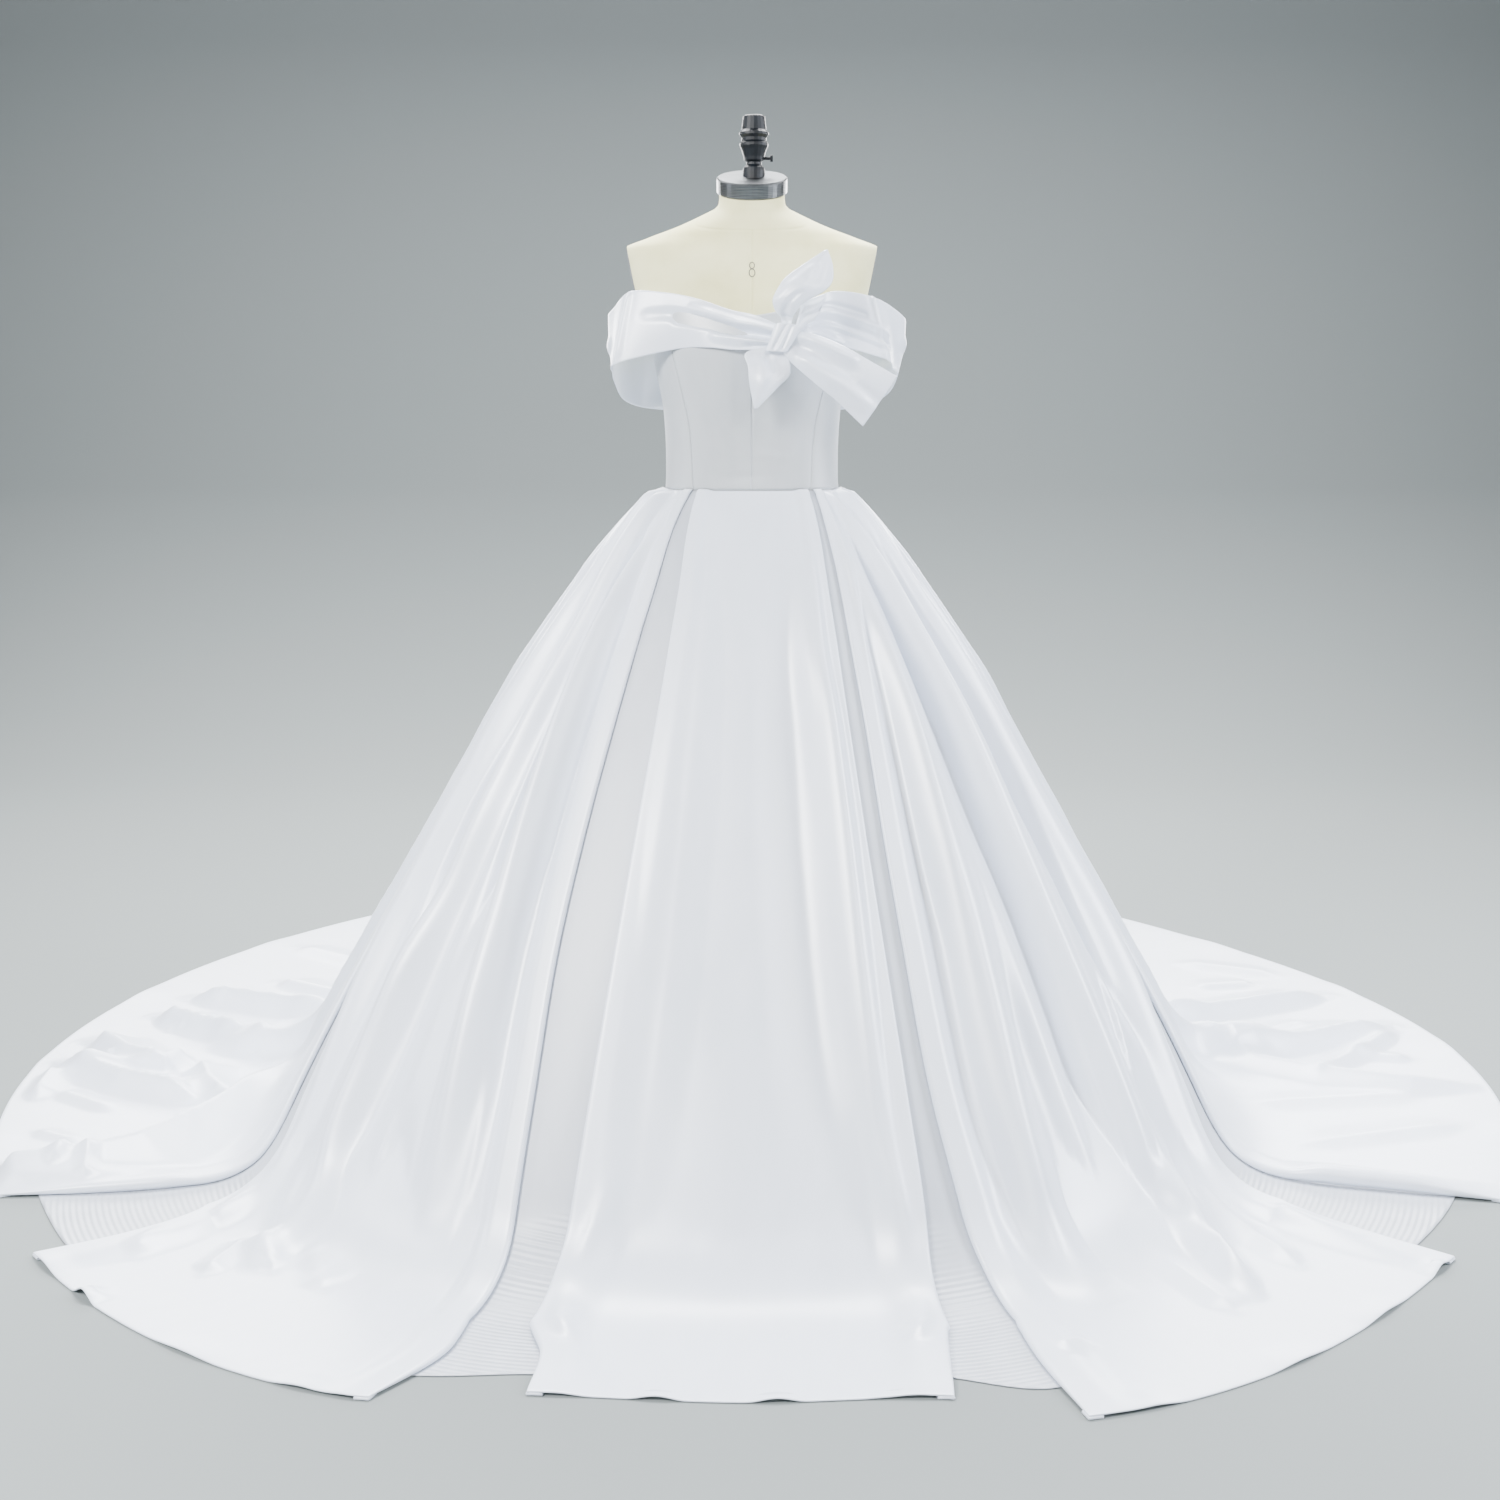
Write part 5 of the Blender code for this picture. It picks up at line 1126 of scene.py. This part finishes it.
def band_stations(band):
    stations = []
    for upper_x, upper_z, lower_x, lower_z, facing, upper_depth, lower_depth, swell in band:
        upper_y = upper_depth
        lower_y = lower_depth
        if facing:
            upper_y = bodice_depth(upper_x, upper_z, facing, upper_depth)
            lower_y = bodice_depth(lower_x, lower_z, facing, lower_depth)
        stations.append((upper_x, upper_y, upper_z, lower_x, lower_y, lower_z, swell))
    return stations


def build_strip(name, node, stations, creases, along, across, edge_roll=0.0):
    """Strip of satin through stations, creased between them. Seen from outside it runs to the right."""
    count = len(stations)
    at = np.linspace(0.0, count - 1.0, along)
    values = [curve([(index, row[column]) for index, row in enumerate(stations)], at) for column in range(7)]
    upper = np.stack(values[0:3], -1)
    lower = np.stack(values[3:6], -1)
    swell = values[6]
    middle = 0.5 * (upper + lower)
    tangent = np.gradient(middle, axis=0)
    out = unit(np.cross(tangent, upper - lower))
    share = np.linspace(0.0, 1.0, across)
    points = lower[:, None] + (upper - lower)[:, None] * share[None, :, None]
    lift = swell[:, None] * np.sin(np.pi * share)[None, :]
    length = float(np.linalg.norm(np.diff(middle, axis=0), axis=-1).sum())
    width = np.linalg.norm(upper - lower, axis=-1)
    u = (at / (count - 1.0))[:, None]
    v = share[None, :]
    for u0, v0, u1, v1, depth, half in creases:
        height = CREASE_GAIN * depth
        run_u = (u1 - u0) * length
        run_v = (v1 - v0) * width[:, None]
        place_u = (u - u0) * length
        place_v = (v - v0) * width[:, None]
        held = np.clip((place_u * run_u + place_v * run_v) / (run_u ** 2 + run_v ** 2), 0.0, 1.0)
        distance = np.hypot(place_u - held * run_u, place_v - held * run_v)
        near_edge = soft_step(np.minimum(v, 1.0 - v) / 0.10) * 0.7 + 0.3
        taper = np.clip(soft_step(held / 0.3) + 0.45, 0.0, 1.0)
        lift = lift + height * near_edge * taper * soft_bump(distance / half)
    points = points + out[:, None] * lift[..., None]
    piece = cloth_piece(name, points, SATIN)
    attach(piece, GOWN)
    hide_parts(node)
    return piece


def build_bow():
    return {
        "band_left": build_strip("band_cloth_left", "band_left", band_stations(BAND_LEFT), CREASES_BAND_LEFT, 190, 40),
        "band_right": build_strip("band_cloth_right", "band_right", band_stations(BAND_RIGHT), CREASES_BAND_RIGHT,
                                  180, 40),
        "knot": build_strip("bow_knot_cloth", "bow_knot", KNOT, CREASES_KNOT, 40, 30),
        "ear": build_strip("bow_ear_cloth", "bow_ear", BOW_EAR, CREASES_EAR, 70, 34),
        "loop": build_strip("bow_loop_cloth", "bow_loop", BOW_LOOP, CREASES_LOOP, 40, 24),
        "tail_right": build_strip("bow_tail_cloth_right", "bow_tail_right", TAIL_RIGHT, CREASES_TAIL_RIGHT, 80, 40),
        "tail_left": build_strip("bow_tail_cloth_left", "bow_tail_left", TAIL_LEFT, CREASES_TAIL_LEFT, 60, 34),
    }


build_form()
build_arm_disc("left", -1)
build_arm_disc("right", 1)
build_size_number()
build_zip_pull()
bodice = build_bodice()
bow = build_bow()
skirt = build_skirt()


# Hardware


def dress_nodes():
    for name, finish in (("neck_cap", STEEL), ("finial", BLACK), ("thumbscrew", BLACK), ("stand_base", IRON),
                         ("stand_pole", STEEL)):
        node = NODES[name]
        node.data.materials.clear()
        node.data.materials.append(finish)


dress_nodes()


# Room for the picture


def stage_surface(name, code, roughness):
    finish, tree, shader = new_finish(name)
    shader.inputs["Base Color"].default_value = linear(code)
    shader.inputs["Roughness"].default_value = roughness
    shader.inputs["Specular IOR Level"].default_value = 0.2
    # From behind the backdrop is clear, so that it hides nothing in the back views
    behind = add_node(tree, "ShaderNodeNewGeometry", {}, {}).outputs["Backfacing"]
    clear = add_node(tree, "ShaderNodeBsdfTransparent", {}, {}).outputs["BSDF"]
    mixed = add_node(tree, "ShaderNodeMixShader", {}, {0: behind, 1: shader.outputs["BSDF"], 2: clear})
    tree.links.new(mixed.outputs["Shader"], tree.nodes["Material Output"].inputs["Surface"])
    return finish


def build_stage():
    """Pale floor that curves up into a plain backdrop."""
    profile = [(-6.0, -0.0005), (2.6, -0.0005)]
    for step in range(1, 13):
        turn = math.radians(90.0 * step / 12)
        profile.append((2.6 + 1.2 * math.sin(turn), 1.2 * (1.0 - math.cos(turn)) - 0.0005))
    profile.append((3.8, 6.0))
    points = [(x, y, z) for y, z in profile for x in (-9.0, 9.0)]
    faces = [(2 * row, 2 * row + 1, 2 * row + 3, 2 * row + 2) for row in range(len(profile) - 1)]
    mesh = bpy.data.meshes.new("floor_and_backdrop")
    mesh.from_pydata(points, [], faces)
    mesh.shade_smooth()
    mesh.materials.append(stage_surface("pale grey paper", "#7A8080", 0.85))
    floor = bpy.data.objects.new("floor_and_backdrop", mesh)
    bpy.context.scene.collection.objects.link(floor)


def add_softbox(name, place, target, size, power, colour):
    light = bpy.data.lights.new(name, "AREA")
    light.shape = "RECTANGLE"
    light.size = size[0]
    light.size_y = size[1]
    light.energy = power
    light.color = linear(colour)[:3]
    lamp = bpy.data.objects.new(name, light)
    lamp.location = place
    heading = Vector(target) - Vector(place)
    lamp.rotation_euler = heading.to_track_quat("-Z", "Y").to_euler()
    bpy.context.scene.collection.objects.link(lamp)
    return lamp


def light_room():
    world = bpy.data.worlds.new("soft room light")
    bpy.context.scene.world = world
    world.use_nodes = True
    world.node_tree.nodes["Background"].inputs["Color"].default_value = linear("#E9EFF7")
    world.node_tree.nodes["Background"].inputs["Strength"].default_value = 0.10
    add_softbox("ceiling", (0.0, 1.0, 3.3), (0.0, 0.0, 0.0), (2.4, 1.2), 430.0, "#FFFFFF")
    add_softbox("front_key", (-2.0, -2.5, 2.6), (0.0, -0.3, 0.5), (0.9, 0.9), 270.0, "#FFFFFF")
    add_softbox("front_small", (1.7, -2.5, 2.6), (0.0, -0.3, 0.4), (0.3, 0.9), 44.0, "#FFFFFF")
    add_softbox("front_fill", (0.0, -4.6, 1.5), (0.0, 0.0, 1.1), (2.6, 1.2), 80.0, "#FBFCFF")
    add_softbox("right_strip", (3.0, -0.7, 1.9), (0.2, -0.3, 0.6), (0.3, 2.0), 215.0, "#F2F6FF")
    add_softbox("left_strip", (-3.0, -0.5, 1.9), (-0.2, -0.3, 0.6), (0.3, 2.0), 60.0, "#F2F6FF")
    glow = add_softbox("back_glow", (0.0, 3.76, 1.9), (0.0, 0.0, 1.9), (6.0, 1.4), 560.0, "#FFFFFF")
    glow.visible_camera = False


def place_camera():
    camera = bpy.data.cameras.new("camera")
    camera.sensor_width = 36.0
    camera.sensor_fit = "HORIZONTAL"
    camera.lens = LENS_PIXELS / FRAME_PIXELS * 36.0
    holder = bpy.data.objects.new("camera", camera)
    pitch = math.atan((FRAME_PIXELS / 2 - HORIZON_PIXEL) / LENS_PIXELS)
    holder.location = (CAMERA_X, -CAMERA_DISTANCE, CAMERA_HEIGHT)
    holder.rotation_euler = (math.radians(90.0) - pitch, 0.0, 0.0)
    bpy.context.scene.collection.objects.link(holder)
    bpy.context.scene.camera = holder


build_stage()
light_room()
place_camera()

bpy.context.view_layer.update()
